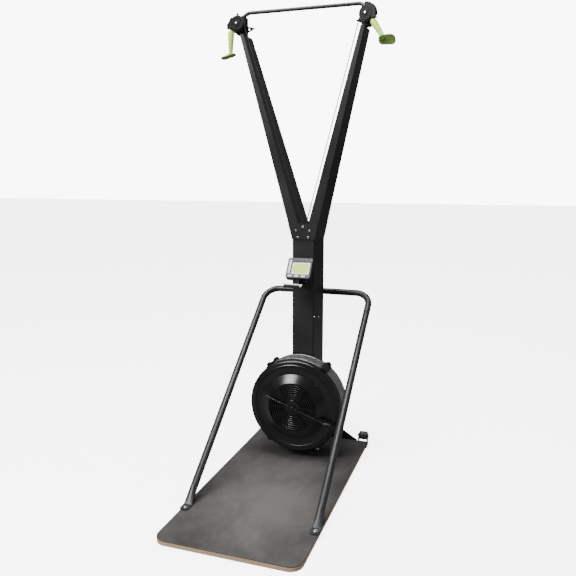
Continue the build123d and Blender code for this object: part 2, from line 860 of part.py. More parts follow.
def handle(side, lean_out, lean_back, base_tilt, base_back, base_outset):
    # The grip leans from a ball under the cord's end; the base is set across its foot.
    root = Pos(side * cord_end.X, cord_end.Y, handle_root_z)
    tip = rod((0, 0, 0), (0, 0, -1), tip_radius, tip_height)
    profile = make_face(
        Spline((grip_neck_radius, 0), (grip_root_radius, -0.13 * grip_length),
               (grip_middle_radius, -0.5 * grip_length), (grip_end_radius, -grip_length))
        + Polyline((grip_end_radius, -grip_length), (0, -grip_length), (0, 0), (grip_neck_radius, 0))
    )
    turn = Pos(0, 0, -tip_height) * Rot(lean_back, 0, 0) * Rot(0, -side * lean_out, 0)
    grip = Plane(origin=(0, 0, 0), x_dir=(1, 0, 0), z_dir=(0, -1, 0)) * revolve(profile, axis=Axis.Y)
    grip = tip + Pos(0, 0, -tip_height) * Sphere(ball_radius) + turn * grip
    neck = rod((0, 0, -grip_length), (0, 0, -1), base_neck_radius, base_neck_length)
    plate = extrude(RectangleRounded(base_width, base_depth, base_corner), -base_thickness)
    plate = fillet(plate.edges().group_by(Axis.Z)[-1], base_thickness * 0.35)
    set_across = Rot(0, base_tilt, 0) * Rot(base_back, 0, 0) * Pos(side * base_outset, 0, 0)
    plate = Pos(0, 0, -grip_length - base_neck_length + 1) * set_across * plate
    plate -= rod((0, 0, -grip_length), (0, 0, 1), grip_end_radius + base_socket_gap, grip_length / 2)
    return root * grip, root * (turn * (neck + plate))


def handles():
    right_grip, right_base = handle(1, right_lean_out, right_lean_back, right_base_tilt, right_base_back,
                                    right_base_outset)
    left_grip, left_base = handle(-1, left_lean_out, left_lean_back, -left_base_tilt, 0, left_base_outset)
    save("right_handle_grip", right_grip)
    save("right_handle_base", right_base)
    save("left_handle_grip", left_grip)
    save("left_handle_base", left_base)


# Brace, cross plate and wheels

def brace():
    start = Vector(brace_half_width, brace_start_y, brace_start_z)
    corner = Vector(brace_half_width, brace_bar_y, brace_bar_z)
    points = [start, corner, Vector(-corner.X, corner.Y, corner.Z), Vector(-start.X, start.Y, start.Z)]
    tube = tube_along("brace tube", points, [brace_bend] * 2, brace_radius, brace_radius - brace_wall)
    tab = slab(-tab_width / 2, tab_width / 2, brace_foot_y - tab_length / 2, brace_foot_y + tab_length / 2,
               deck_top, tab_top)
    tab = fillet(tab.edges().filter_by(Axis.Z).group_by(Axis.Y)[0], tab_width * 0.4)
    tab = Pos(brace_half_width, 0, 0) * tab
    tab = drill_down(tab, tab_screw_places, foot_screw_radius, tab_thickness + 1)
    flat = Vector(brace_half_width, brace_foot_y + tab_length / 2 - 3, deck_top + tab_thickness / 2 + 1)
    leg = (corner - start).normalized()
    lower = Plane(origin=flat, x_dir=(1, 0, 0), z_dir=(start - flat).normalized())
    upper = Plane(origin=start, x_dir=(1, 0, 0), z_dir=leg)
    flattened = loft([lower * Ellipse(tab_width / 2, tab_thickness / 2), upper * Circle(brace_radius)])
    foot = tab + flattened
    save("brace_tube", tube + foot + mirrored(foot))


def brace_mount():
    # A stand-off on the column's rear holds the brace's cross bar between two half clamps.
    half = standoff_half_height
    plate = slab(-standoff_half_width, standoff_half_width, column_rear, column_rear + standoff_plate,
                 brace_bar_z - standoff_plate_half_height, brace_bar_z + standoff_plate_half_height)
    for x, y, z in standoff_places:
        plate -= rod((x, y + 1, z), (0, -1, 0), clamp_bolt_radius + screw_clear, standoff_plate + 2)
    saddle_front = brace_bar_y - clamp_reach
    web = slab(-standoff_half_width * 0.6, standoff_half_width * 0.6, column_rear, saddle_front + 1,
               brace_bar_z - half * 0.5, brace_bar_z + half * 0.5)
    saddle = slab(-standoff_half_width, standoff_half_width, saddle_front, brace_bar_y - clamp_gap,
                  brace_bar_z - half, brace_bar_z + half)
    cap = slab(-standoff_half_width, standoff_half_width, brace_bar_y + clamp_gap, brace_bar_y + clamp_reach,
               brace_bar_z - half, brace_bar_z + half)
    seat = rod((-100, brace_bar_y, brace_bar_z), (1, 0, 0), brace_radius + running_gap, 200)
    bracket = plate + web + saddle - seat
    cap -= seat
    clamp_bolts = []
    for side in (-1, 1):
        z = brace_bar_z + side * (half - 8)
        hole = rod((0, saddle_front - 1, z), (0, 1, 0), clamp_bolt_radius + screw_clear, 2 * clamp_reach + 2)
        bracket -= hole
        cap -= hole
        clamp_bolts.append(bolt((0, brace_bar_y + clamp_reach, z), (0, 1, 0), clamp_bolt_radius,
                                2 * clamp_reach - 4, 5.5, 3.5))
    save("brace_bracket", bracket)
    save("brace_clamp", cap)
    return clamp_bolts


def cross_plate():
    high = deck_top + cross_plate_rise
    low = deck_top + cross_plate_edge
    outline = [(-cross_plate_half, deck_top), (cross_plate_half, deck_top), (cross_plate_half, low),
               (column_half, high), (-column_half, high), (-cross_plate_half, low)]
    save("rear_cross_plate", front_view(outline, column_rear, column_rear + cross_plate_thickness))


def wheels():
    half = wheel_width / 2 + wheel_side_gap
    rear = deck_rear + wheel_plate
    top = deck_top - 0.5
    web = slab(wheel_x - half - wheel_plate, strap_x, deck_rear, rear, wheel_plate_low, top)
    strap = slab(deck_side, strap_x, deck_rear - side_strap_length, rear,
                 wheel_plate_low, board_thickness - 0.5)
    body = web + strap
    for x0 in (wheel_x - half - wheel_plate, wheel_x + half):
        ear = side_view(
            [(deck_rear, wheel_plate_low), (wheel_y - 6, wheel_plate_low),
             (wheel_y + wheel_ear_radius, wheel_z), (wheel_y - wheel_ear_radius, wheel_z),
             (deck_rear, top)], x0, x0 + wheel_plate)
        body += ear + rod((x0, wheel_y, wheel_z), (1, 0, 0), wheel_ear_radius, wheel_plate)
    body -= rod((wheel_x - 60, wheel_y, wheel_z), (1, 0, 0), axle_radius + screw_clear, 120)
    body -= rod((strap_x + 1, strap_y, strap_z), (-1, 0, 0), clamp_bolt_radius + screw_clear, wheel_plate + 2)
    save("wheel_brackets", body, mirrored(body))
    roller = ring((wheel_x - wheel_width / 2, wheel_y, wheel_z), (1, 0, 0), wheel_radius,
                  axle_radius + running_gap, wheel_width)
    rims = [e for e in roller.edges().filter_by(GeomType.CIRCLE) if e.radius > wheel_radius - 1]
    save_pair("wheel", fillet(rims, 3))
    seat_x = wheel_x + half + wheel_plate
    length = 2 * (half + wheel_plate) + 5
    axle = bolt((seat_x, wheel_y, wheel_z), (1, 0, 0), axle_radius, length, 7, 3)
    axle += rod((seat_x - length, wheel_y, wheel_z), (1, 0, 0), 6.5, 5)
    save("wheel_axles", axle, mirrored(axle))


# Fan brake

def fan_cover():
    wall = shell_wall
    body = turned(
        [(pivot_radius, louvre_y), (cone_inner, louvre_y), (cone_outer, rim_y), (fan_radius, rim_y),
         (fan_radius, cover_rear_y), (fan_inner, cover_rear_y), (fan_inner, rim_y + wall),
         (cone_outer - 0.6, rim_y + wall), (cone_inner - 0.6, cover_inner_y), (pivot_radius, cover_inner_y)],
        [((fan_radius, rim_y), rim_round), ((fan_inner, rim_y + wall), rim_round - wall)],
    )
    for index in range(slot_count):
        inner = slot_first_radius + slot_pitch * index
        body -= ring((0, louvre_y - 1, fan_z), (0, 1, 0), inner + slot_width, inner, wall + 2)
    spokes = ring((0, cover_inner_y, fan_z), (0, 1, 0), pivot_radius + 12, pivot_radius, spoke_depth)
    reach = cone_inner + 3
    for index in range(spoke_count):
        spoke = slab(pivot_radius + 2, reach, cover_inner_y, spoke_rear_y, -spoke_width / 2, spoke_width / 2)
        spokes += Pos(0, 0, fan_z) * Rot(0, 90 + 360 * index / spoke_count, 0) * spoke
    save("fan_front_cover", body + spokes)


def fan_shells():
    band = ring((0, cover_rear_y, fan_z), (0, 1, 0), fan_radius, fan_inner, band_rear_y - cover_rear_y)
    save("fan_mesh_band", band)
    back = turned(
        [(back_bore_radius, column_front - shell_wall), (fan_inner, column_front - shell_wall),
         (fan_inner, band_rear_y), (fan_radius, band_rear_y), (fan_radius, column_front),
         (back_bore_radius, column_front)],
        [((fan_radius, column_front), shell_wall * 0.8)],
    )
    for x, y, z in fan_screw_places:
        back -= rod((x, y - 1, z), (0, 1, 0), fan_screw_radius + screw_clear, shell_wall + 2)
    save("fan_back_housing", back)
    front = cover_rear_y - clip_overlap
    length = band_rear_y - cover_rear_y + 2 * clip_overlap
    inner = fan_radius + cord_gap
    strap = ring((0, front, fan_z), (0, 1, 0), inner + clip_thickness, inner, length)
    clips = []
    for angle in (clip_half_angle, 180 - clip_half_angle, 180 + clip_half_angle, 360 - clip_half_angle):
        cutter = slab(-clip_width / 2, clip_width / 2, front - 1, front + length + 1, 0, fan_radius * 2)
        clip = strap & (Pos(0, 0, fan_z) * Rot(0, angle, 0) * cutter)
        for y in (front, front + length - clip_lug_length):
            lug = slab(-clip_lug_width / 2, clip_lug_width / 2, y, y + clip_lug_length,
                       inner + 1.5, inner + clip_thickness + clip_lug_height)
            lug = fillet(lug.edges().filter_by(Axis.Y).group_by(Axis.Z)[-1], clip_lug_height * 0.35)
            clip += Pos(0, 0, fan_z) * Rot(0, angle, 0) * lug
        clips.append(clip)
    save("fan_clips", *clips)


def damper():
    disc = ring((0, damper_y, fan_z), (0, 1, 0), damper_radius, pivot_radius - 4, damper_thickness)
    for index in range(damper_openings):
        a, b = (radians(60 * index + side * damper_opening_half) for side in (-1, 1))
        inner, outer = damper_opening_inner, damper_radius - 5
        corners = [(inner * cos(a), inner * sin(a)), (outer * cos(a), outer * sin(a)),
                   (outer * cos(b), outer * sin(b)), (inner * cos(b), inner * sin(b))]
        window = front_view(corners, damper_y - 1, damper_y + damper_thickness + 1)
        disc -= Pos(0, 0, fan_z) * window
    reach = damper_y + damper_thickness - lever_y
    pin = rod((0, lever_y, fan_z), (0, 1, 0), pivot_radius - running_gap, reach)
    save("damper_plate", disc + pin)
    front = lever_y - lever_thickness
    bar = slab(-lever_left, lever_right, front, lever_y, -lever_width / 2, lever_width / 2)
    bar = fillet(bar.edges().filter_by(Axis.Y).group_by(Axis.X)[0], lever_width * 0.45)
    hub = rod((0, front, 0), (0, 1, 0), lever_width * 1.8, lever_thickness)
    middle = lever_right + knob_length / 2
    knob = slab(middle - knob_length / 2 - 2, middle + knob_length / 2, lever_y - knob_depth * 0.6,
                lever_y + knob_depth * 0.4, -knob_height / 2, knob_height / 2)
    knob = fillet(knob.edges().filter_by(Axis.Y), 8)
    save("damper_lever", Pos(0, 0, fan_z) * Rot(0, -lever_angle, 0) * (bar + hub + knob))


def fan_wheel():
    bore = shaft_radius + running_gap
    rear = fan_disc_y + fan_disc_thickness
    body = ring((0, fan_disc_y, fan_z), (0, 1, 0), blade_radius, bore, fan_disc_thickness)
    body += ring((0, rear, fan_z), (0, 1, 0), weight_radius, bore, weight_thickness)
    body += ring((0, fan_disc_y - fan_hub_length, fan_z), (0, 1, 0), fan_hub_radius, bore, fan_hub_length)
    blades = []
    for index in range(blade_count):
        blade = slab(blade_inner, blade_radius, blade_front, fan_disc_y + 0.5,
                     -blade_thickness / 2, blade_thickness / 2)
        blades.append(Pos(0, 0, fan_z) * Rot(0, 360 * index / blade_count, 0) * blade)
    save("fan_wheel", body.fuse(*blades))


# Drive inside the column

def shaft():
    axis = (0, 1, 0)
    body = rod((0, shaft_front_y, fan_z), axis, shaft_radius, inner_rear - 4 - shaft_front_y)
    stops = [weight_rear, inner_front, inner_front + bearing_width,
             right_spool_y - drum_slot / 2 - flange_width]
    right_end = stops[3] + drum_length
    left_start = left_spool_y - drum_slot / 2 - flange_width
    stops += [right_end, left_start, left_start + drum_length, inner_rear - bearing_width]
    for low, high in zip(stops[0::2], stops[1::2]):
        body += rod((0, low + hub_play, fan_z), axis, spacer_radius, high - low - 2 * hub_play)
    save("flywheel_shaft", body)
    bearings = []
    housings = []
    for y in (inner_front, inner_rear - bearing_width):
        bearings.append(ring((0, y, fan_z), axis, bearing_radius, shaft_radius + running_gap, bearing_width))
        bore = bearing_radius + running_gap
        housings.append(ring((0, y, fan_z), axis, housing_radius, bore, bearing_width))
    save("shaft_bearings", *bearings)
    save("bearing_housings", *housings)


def drums():
    axis = (0, 1, 0)
    for name, spool_y in (("right", right_spool_y), ("left", left_spool_y)):
        start = spool_y - drum_slot / 2 - flange_width
        drum = ring((0, start, fan_z), axis, drum_flange, clutch_radius + running_gap, drum_length)
        for core, middle in ((spool_core, spool_y), (drum_core, spool_y + drum_pitch)):
            drum -= ring((0, middle - drum_slot / 2, fan_z), axis, drum_flange + 1, core, drum_slot)
        clutch = ring((0, start, fan_z), axis, clutch_radius, shaft_radius + running_gap, drum_length)
        save(name + "_cord_drum", drum, clutch)


def idlers():
    axis = (0, 1, 0)
    edges = [inner_front]
    for name, spool_y in (("right", right_spool_y), ("left", left_spool_y)):
        start = spool_y - idler_width / 2
        edges += [start - hub_play, start + idler_width + hub_play]
        wheel = ring((idler_x, start, idler_z), axis, idler_flange, axle_radius + running_gap, idler_width)
        side = (idler_x, spool_y - idler_groove / 2, idler_z)
        groove = ring(side, axis, idler_flange + 1, idler_core, idler_groove)
        save(name + "_idler", wheel - groove)
    edges.append(inner_rear)
    pieces = []
    for low, high in zip(edges[0::2], edges[1::2]):
        bore = axle_radius + screw_clear
        pieces.append(ring((idler_x, low, idler_z), axis, axle_radius + 2.5, bore, high - low))
    pin = bolt((idler_x, column_front, idler_z), (0, -1, 0), axle_radius, column_depth + 7, 6.5, 3)
    pin += ring((idler_x, column_rear, idler_z), axis, 7, axle_radius - 0.5, 6)
    save("idler_pin", pin, *pieces)


# Monitor

def on_face(sketch, start, end):
    # A plate cut to a sketch on the monitor's face, between two depths.
    return extrude(face_plane.offset(start) * sketch, end - start)


def monitor():
    outline = RectangleRounded(monitor_width, monitor_height, monitor_corner)
    inside = RectangleRounded(monitor_width - 2 * monitor_wall, monitor_height - 2 * monitor_wall,
                              monitor_corner - monitor_wall)
    window = Pos(lcd_offset_x, lcd_offset_y) * RectangleRounded(lcd_width, lcd_height, 3)
    keys = [Pos(button_offset + button_pitch * index, button_row) for index in (-1, 0, 1)]
    case = on_face(outline, -bezel_depth, 0)
    def height(edge):
        return round((edge.center() - face_plane.origin).dot(face_normal), 2)

    case = fillet(case.edges().group_by(height)[-1], 1.5)
    case -= on_face(inside, -bezel_depth - 1, -monitor_wall)
    case -= on_face(window, -monitor_wall - 1, 1)
    for key in keys:
        hole = RectangleRounded(button_width + 2 * button_gap, button_height + 2 * button_gap, 2)
        case -= on_face(key * hole, -monitor_wall - 1, 1)
    save("monitor_case", case)

    back = on_face(outline, -monitor_depth, -bezel_depth)
    back -= on_face(inside, -monitor_depth + monitor_wall, 1 - bezel_depth)
    low = face_plane.origin - face_plane.y_dir * (monitor_height / 2 - 1)
    rear = low - face_normal * (monitor_depth - 1)
    ahead = low - face_normal * 12
    tongue = side_view(
        [(hinge_y - 23, hinge_z - hinge_ear_radius), (hinge_y, hinge_z - hinge_ear_radius),
         (hinge_y + hinge_ear_radius, hinge_z), (rear.Y, rear.Z), (ahead.Y, ahead.Z)],
        -hinge_tongue_half, hinge_tongue_half)
    barrel = rod((-hinge_tongue_half, hinge_y, hinge_z), (1, 0, 0), hinge_ear_radius, 2 * hinge_tongue_half)
    hollow = on_face(inside, -monitor_depth + monitor_wall, 1 - bezel_depth)
    tongue = tongue + barrel - hollow
    board_x = monitor_width / 2 - board_inset
    board_y = monitor_height / 2 - board_inset
    for x in (-board_x + 6, board_x - 6):
        for y in (-board_y + 6, board_y - 6):
            back += on_face(Pos(x, y) * Circle(post_in_monitor), -monitor_depth + monitor_wall / 2,
                            -board_depth - lcd_thickness)
    back += tongue
    back -= rod((-50, hinge_y, hinge_z), (1, 0, 0), hinge_pin_radius + running_gap, 100)
    save("monitor_back", back)
    board = on_face(Rectangle(2 * board_x, 2 * board_y), -board_depth - lcd_thickness, -board_depth)
    save("monitor_circuit_board", board)
    glass = RectangleRounded(lcd_width + 2 * lcd_margin, lcd_height + 2 * lcd_margin, 3)
    save("monitor_screen", on_face(Pos(lcd_offset_x, lcd_offset_y) * glass, -monitor_wall - lcd_thickness,
                                   -monitor_wall))
    for name, key in zip(("left", "middle", "right"), keys):
        top = RectangleRounded(button_width, button_height, 2)
        cap = on_face(key * top, -monitor_wall - hub_play - 1, button_stand)
        foot = RectangleRounded(button_width + 4, button_height + 4, 2)
        cap += on_face(key * foot, -monitor_wall - hub_play - button_flange, -monitor_wall - hub_play)
        save(name + "_button", cap)


def monitor_mount():
    inner = hinge_tongue_half + hinge_ear_gap
    outer = inner + bracket_side
    front = column_front - bracket_plate
    body = slab(-bracket_half_width, bracket_half_width, front, column_front,
                hinge_z - hinge_ear_radius, bracket_top)
    for x0 in (-outer, inner):
        body += side_view(
            [(hinge_y, hinge_z - hinge_ear_radius), (front + 1, hinge_z - hinge_ear_radius),
             (front + 1, bracket_top - 20), (hinge_y, hinge_z + hinge_ear_radius)], x0, x0 + bracket_side)
        body += rod((x0, hinge_y, hinge_z), (1, 0, 0), hinge_ear_radius, bracket_side)
    body -= rod((-50, hinge_y, hinge_z), (1, 0, 0), hinge_pin_radius + screw_clear, 100)
    for x, y, z in monitor_screw_places:
        body -= rod((x, y - 1, z), (0, 1, 0), arm_screw_radius + screw_clear, bracket_plate + 2)
    save("monitor_bracket", body)
    pin = bolt((outer, hinge_y, hinge_z), (1, 0, 0), hinge_pin_radius, 2 * outer + 4, 5, 3)
    pin += rod((-outer - 4, hinge_y, hinge_z), (1, 0, 0), 5, 4)
    save("monitor_hinge_pin", pin)

    top = hinge_z - hinge_ear_radius
    low = top - ledge_thickness
    lip_rear = ledge_front_y + ledge_thickness
    tab_right = ledge_right + knob_tab
    ledge = slab(ledge_left, ledge_right, ledge_front_y, ledge_rear_y, low, top)
    ledge += slab(ledge_left, ledge_right, ledge_front_y, lip_rear, low, low + ledge_lip)
    knob_z = low + ledge_lip - 1
    knob_x = ledge_right + knob_tab / 2
    ledge += slab(ledge_right - 1, tab_right, ledge_front_y, lip_rear, low, knob_z + ledge_knob_radius)
    bore = hinge_pin_radius
    ledge -= rod((knob_x, ledge_front_y - 1, knob_z), (0, 1, 0), bore + running_gap, ledge_thickness + 2)
    save("device_ledge", ledge)
    knob = rod((knob_x, ledge_front_y - hub_play, knob_z), (0, -1, 0), ledge_knob_radius, ledge_knob_length)
    knob = fillet(knob.edges().group_by(Axis.Y)[0], 2)
    knob += rod((knob_x, ledge_front_y - hub_play, knob_z), (0, 1, 0), bore, ledge_thickness + 2)
    knob += rod((knob_x, lip_rear + hub_play, knob_z), (0, 1, 0), bore + 2, 2.5)
    save("ledge_knob", knob)


def frame_bolts(clamp_bolts):
    # The plain bolts and screws of the deck, column, brace, fan and monitor bracket.
    down = (0, 0, 1)
    bolts = list(clamp_bolts)
    for place in foot_bolt_places:
        bolts.append(bolt(place, down, foot_bolt_radius, foot_plate_thickness + deck_screw_depth, 9, 5))
    for place in tab_screw_places:
        bolts.append(bolt(place, down, foot_screw_radius, tab_thickness + deck_screw_depth, 8, 4))
    for place in strap_places:
        bolts.append(bolt(place, (1 if place[0] > 0 else -1, 0, 0), clamp_bolt_radius,
                          wheel_plate + deck_screw_depth, 5, 3))
    for place in fan_screw_places:
        bolts.append(bolt(place, (0, -1, 0), fan_screw_radius, shell_wall + column_wall + 5, 6, 3.5))
    for place in monitor_screw_places:
        bolts.append(bolt(place, (0, -1, 0), arm_screw_radius, bracket_plate + column_wall + 5, 5, 3))
    for place in standoff_places:
        bolts.append(bolt(place, (0, 1, 0), clamp_bolt_radius, standoff_plate + column_wall + 5, 5.5, 3.5))
    for place in side_bolt_places:
        head = bolt(place, (1, 0, 0), side_bolt_radius, column_wall + 5, 5.2, 3)
        nut = rod((column_half - column_wall - 4, place[1], place[2]), (1, 0, 0), side_nut_radius, 4)
        bolts.append(head + nut)
    save("frame_bolts", *bolts)


deck()
column()
arms()
gussets()
fairlead()
pulley_brackets()
pulley_guards()
pulleys()
head_bolts()
spreader_bar()
cords()
handles()
brace()
frame_bolts(brace_mount())
cross_plate()
wheels()
fan_cover()
fan_shells()
damper()
fan_wheel()
shaft()
drums()
idlers()
monitor()
monitor_mount()
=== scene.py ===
import json
import math

import bmesh
import bpy
from mathutils import Matrix, Vector


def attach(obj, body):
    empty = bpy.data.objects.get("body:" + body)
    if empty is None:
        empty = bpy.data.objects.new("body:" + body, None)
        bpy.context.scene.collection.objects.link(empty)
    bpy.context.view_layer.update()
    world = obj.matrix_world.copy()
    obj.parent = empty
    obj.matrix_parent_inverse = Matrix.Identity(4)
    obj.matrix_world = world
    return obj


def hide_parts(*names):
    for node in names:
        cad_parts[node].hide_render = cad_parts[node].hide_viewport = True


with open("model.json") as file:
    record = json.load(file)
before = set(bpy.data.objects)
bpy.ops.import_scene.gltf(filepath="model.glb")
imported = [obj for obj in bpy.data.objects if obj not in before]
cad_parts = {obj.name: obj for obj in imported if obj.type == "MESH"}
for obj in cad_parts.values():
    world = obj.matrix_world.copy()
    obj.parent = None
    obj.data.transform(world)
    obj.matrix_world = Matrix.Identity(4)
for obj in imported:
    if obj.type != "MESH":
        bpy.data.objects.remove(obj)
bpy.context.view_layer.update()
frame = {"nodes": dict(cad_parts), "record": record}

# The machine is dressed around its solid parts, in metres and in their own frame.

MONITOR_TILT = math.radians(34.6)
SMOOTH_ANGLE = math.radians(32)


# Shader maths

class Tone:
    """A socket of a material, with arithmetic on it."""

    def __init__(self, paint, socket):
        self.paint = paint
        self.socket = socket

    def math(self, operation, *values):
        return self.paint.node("ShaderNodeMath", {"operation": operation}, dict(enumerate(values)))

    def __add__(self, other):
        return self.math("ADD", self, other)

    def __radd__(self, other):
        return self.math("ADD", other, self)

    def __sub__(self, other):
        return self.math("SUBTRACT", self, other)

    def __rsub__(self, other):
        return self.math("SUBTRACT", other, self)

    def __mul__(self, other):
        return self.math("MULTIPLY", self, other)

    def __rmul__(self, other):
        return self.math("MULTIPLY", other, self)

    def clamped(self):
        return self.paint.node("ShaderNodeClamp", {}, {0: self})


class Paint:
    """One procedural material."""

    def __init__(self, name):
        self.material = bpy.data.materials.new(name)
        self.material.use_nodes = True
        self.tree = self.material.node_tree
        self.tree.nodes.clear()
        self.output = self.tree.nodes.new("ShaderNodeOutputMaterial")
        self.shader = self.tree.nodes.new("ShaderNodeBsdfPrincipled")
        self.tree.links.new(self.shader.outputs[0], self.output.inputs[0])
        self.place = self.node("ShaderNodeTexCoord", {}, {}, out="Object")

    def feed(self, socket, value):
        if isinstance(value, Tone):
            self.tree.links.new(value.socket, socket)
        elif hasattr(socket.default_value, "__len__") and len(socket.default_value) == 4:
            socket.default_value = tuple(value)[:3] + (1.0,)
        else:
            socket.default_value = value

    def node(self, kind, settings, values, out=0):
        made = self.tree.nodes.new(kind)
        for key, value in settings.items():
            setattr(made, key, value)
        for key, value in values.items():
            self.feed(made.inputs[key], value)
        return Tone(self, made.outputs[out])

    def noise(self, scale, detail=3.0, place=None, rough=0.5):
        return self.node("ShaderNodeTexNoise", {}, {
            "Vector": place or self.place, "Scale": scale, "Detail": detail, "Roughness": rough})

    def cells(self, scale, place=None, feature="F1"):
        return self.node("ShaderNodeTexVoronoi", {"feature": feature}, {
            "Vector": place or self.place, "Scale": scale}, out="Distance")

    def moved(self, scale=(1, 1, 1), turn=(0, 0, 0), offset=(0, 0, 0)):
        return self.node("ShaderNodeMapping", {}, {
            "Vector": self.place, "Location": offset, "Rotation": turn, "Scale": scale})

    def band(self, value, low, high, to_low=0.0, to_high=1.0):
        return self.node("ShaderNodeMapRange", {"clamp": True}, {
            "Value": value, "From Min": low, "From Max": high, "To Min": to_low, "To Max": to_high})

    def mix(self, factor, low, high):
        made = self.tree.nodes.new("ShaderNodeMix")
        made.data_type = "RGBA"
        self.feed(made.inputs[0], factor)
        self.feed(made.inputs[6], low)
        self.feed(made.inputs[7], high)
        return Tone(self, made.outputs[2])

    def axis(self, index, place=None):
        return self.node("ShaderNodeSeparateXYZ", {}, {0: place or self.place}, out=index)

    def bump(self, height, strength, distance):
        return self.node("ShaderNodeBump", {}, {
            "Height": height, "Strength": strength, "Distance": distance})

    def upward(self):
        normal = self.node("ShaderNodeNewGeometry", {}, {}, out="Normal")
        return self.axis(2, normal)

    def finish(self, **sockets):
        for key, value in sockets.items():
            self.feed(self.shader.inputs[key.replace("_", " ")], value)
        return self.material


def satin_coat(name, dark, light, rough, grain=900.0, dust=0.06, shine=0.3):
    """Powder coat or satin moulding: fine pebbling, soft patches and a little dust on top."""
    paint = Paint(name)
    patches = paint.noise(4.0, 4.0)
    fine = paint.noise(grain, 2.0)
    colour = paint.mix(paint.band(patches, 0.35, 0.7), dark, light)
    dusty = paint.band(paint.upward(), 0.55, 1.0) * paint.band(paint.noise(35.0, 5.0), 0.4, 0.75) * dust
    colour = paint.mix(dusty.clamped(), colour, (0.45, 0.44, 0.42))
    gloss = paint.band(patches, 0.3, 0.75, rough - 0.05, rough + 0.08) + (fine - 0.5) * 0.08
    return paint.finish(Base_Color=colour, Roughness=gloss, Normal=paint.bump(fine, 0.12, 0.0004),
                        Specular_IOR_Level=shine)


def zinc_steel(name="zinc_plate"):
    """Plated fasteners: bright, slightly mottled, brushed by handling."""
    paint = Paint(name)
    mottle = paint.noise(160.0, 4.0)
    colour = paint.mix(paint.band(mottle, 0.3, 0.7), (0.58, 0.58, 0.57), (0.82, 0.82, 0.80))
    streaks = paint.noise(600.0, 2.0, paint.moved(scale=(1, 0.15, 1)))
    return paint.finish(Base_Color=colour, Metallic=1.0, Normal=paint.bump(streaks, 0.1, 0.0003),
                        Roughness=paint.band(mottle, 0.3, 0.7, 0.2, 0.38))


def screen_sheet():
    """Perforated aluminium-coloured sheet with a faint rolled streak."""
    paint = Paint("perforated_sheet")
    streaks = paint.noise(60.0, 4.0, paint.moved(scale=(1, 9, 1)))
    colour = paint.mix(paint.band(streaks, 0.35, 0.7), (0.36, 0.36, 0.37), (0.58, 0.58, 0.59))
    return paint.finish(Base_Color=colour, Metallic=0.85, Roughness=paint.band(streaks, 0.3, 0.7, 0.28, 0.46),
                        Normal=paint.bump(streaks, 0.06, 0.0004))


def deck_rubber():
    """Dark rubber mat, pebbled, with worn and scuffed tones, lighter towards its middle as a painted reflection."""
    paint = Paint("deck_rubber")
    x = paint.axis(0)
    y = paint.axis(1)
    worn = paint.noise(2.2, 6.0, rough=0.62)
    scuffs = paint.noise(26.0, 6.0, paint.moved(scale=(1.0, 0.45, 1.0)), 0.7)
    grains = paint.cells(560.0)
    # centre is a painted reflection: the mat is made lighter towards its middle where studio light reflects; grey
    # mixes it with the random worn tone and the scuffs.
    centre = paint.band(x * x * 14.0 + (y + 0.12) * (y + 0.12) * 4.2, 0.05, 1.2, 1.0, 0.0)
    grey = (paint.band(worn, 0.34, 0.66) * 0.55 + centre * 0.5 + paint.band(scuffs, 0.45, 0.75) * 0.3).clamped()
    colour = paint.mix(grey, (0.022, 0.021, 0.020), (0.095, 0.089, 0.083))
    return paint.finish(Base_Color=colour, Normal=paint.bump(grains + scuffs * 0.6, 0.35, 0.0006),
                        Roughness=paint.band(worn, 0.3, 0.7, 0.52, 0.72))


def plywood():
    """Plywood edge: thin plies of light and darker grain under clear coat."""
    paint = Paint("plywood_edge")
    z = paint.axis(2)
    sway = paint.noise(7.0, 3.0, paint.moved(scale=(1, 1, 0.1))) * 0.0007
    ply = paint.node("ShaderNodeMath", {"operation": "SINE"}, {0: (z + sway) * (2 * math.pi / 0.0046)})
    fibres = paint.noise(95.0, 5.0, paint.moved(scale=(0.35, 0.35, 6.0)))
    colour = paint.mix(paint.band(ply, -0.5, 0.5), (0.50, 0.33, 0.19), (0.74, 0.56, 0.38))
    colour = paint.mix(paint.band(fibres, 0.42, 0.72) * 0.4, colour, (0.33, 0.20, 0.11))
    return paint.finish(Base_Color=colour, Normal=paint.bump(ply * 0.4 + fibres, 0.25, 0.0006),
                        Roughness=paint.band(fibres, 0.3, 0.7, 0.38, 0.55), Coat_Weight=0.15)


def braided(name, dark, light, pitch=0.004):
    """Woven cord: two crossing sets of strands along its length."""
    paint = Paint(name)
    x, y, z = (paint.axis(index) for index in range(3))
    wave = 2 * math.pi / pitch
    one = paint.node("ShaderNodeMath", {"operation": "SINE"}, {0: (z + x * 1.3 + y) * wave})
    two = paint.node("ShaderNodeMath", {"operation": "SINE"}, {0: (z - x * 1.3 - y) * wave})
    weave = one * two
    colour = paint.mix(paint.band(weave, -0.4, 0.8), dark, light)
    return paint.finish(Base_Color=colour, Roughness=0.75, Normal=paint.bump(weave, 0.5, 0.0005))


def soft_grip(name, pale, deep, rough=0.42):
    """Moulded grip rubber with a silky skin, slightly soiled."""
    paint = Paint(name)
    fine = paint.noise(1400.0, 2.0)
    soil = paint.noise(28.0, 5.0)
    colour = paint.mix(paint.band(soil, 0.48, 0.78), pale, deep)
    return paint.finish(Base_Color=colour, Roughness=paint.band(soil, 0.3, 0.7, rough - 0.06, rough + 0.1),
                        Normal=paint.bump(fine, 0.12, 0.0003))


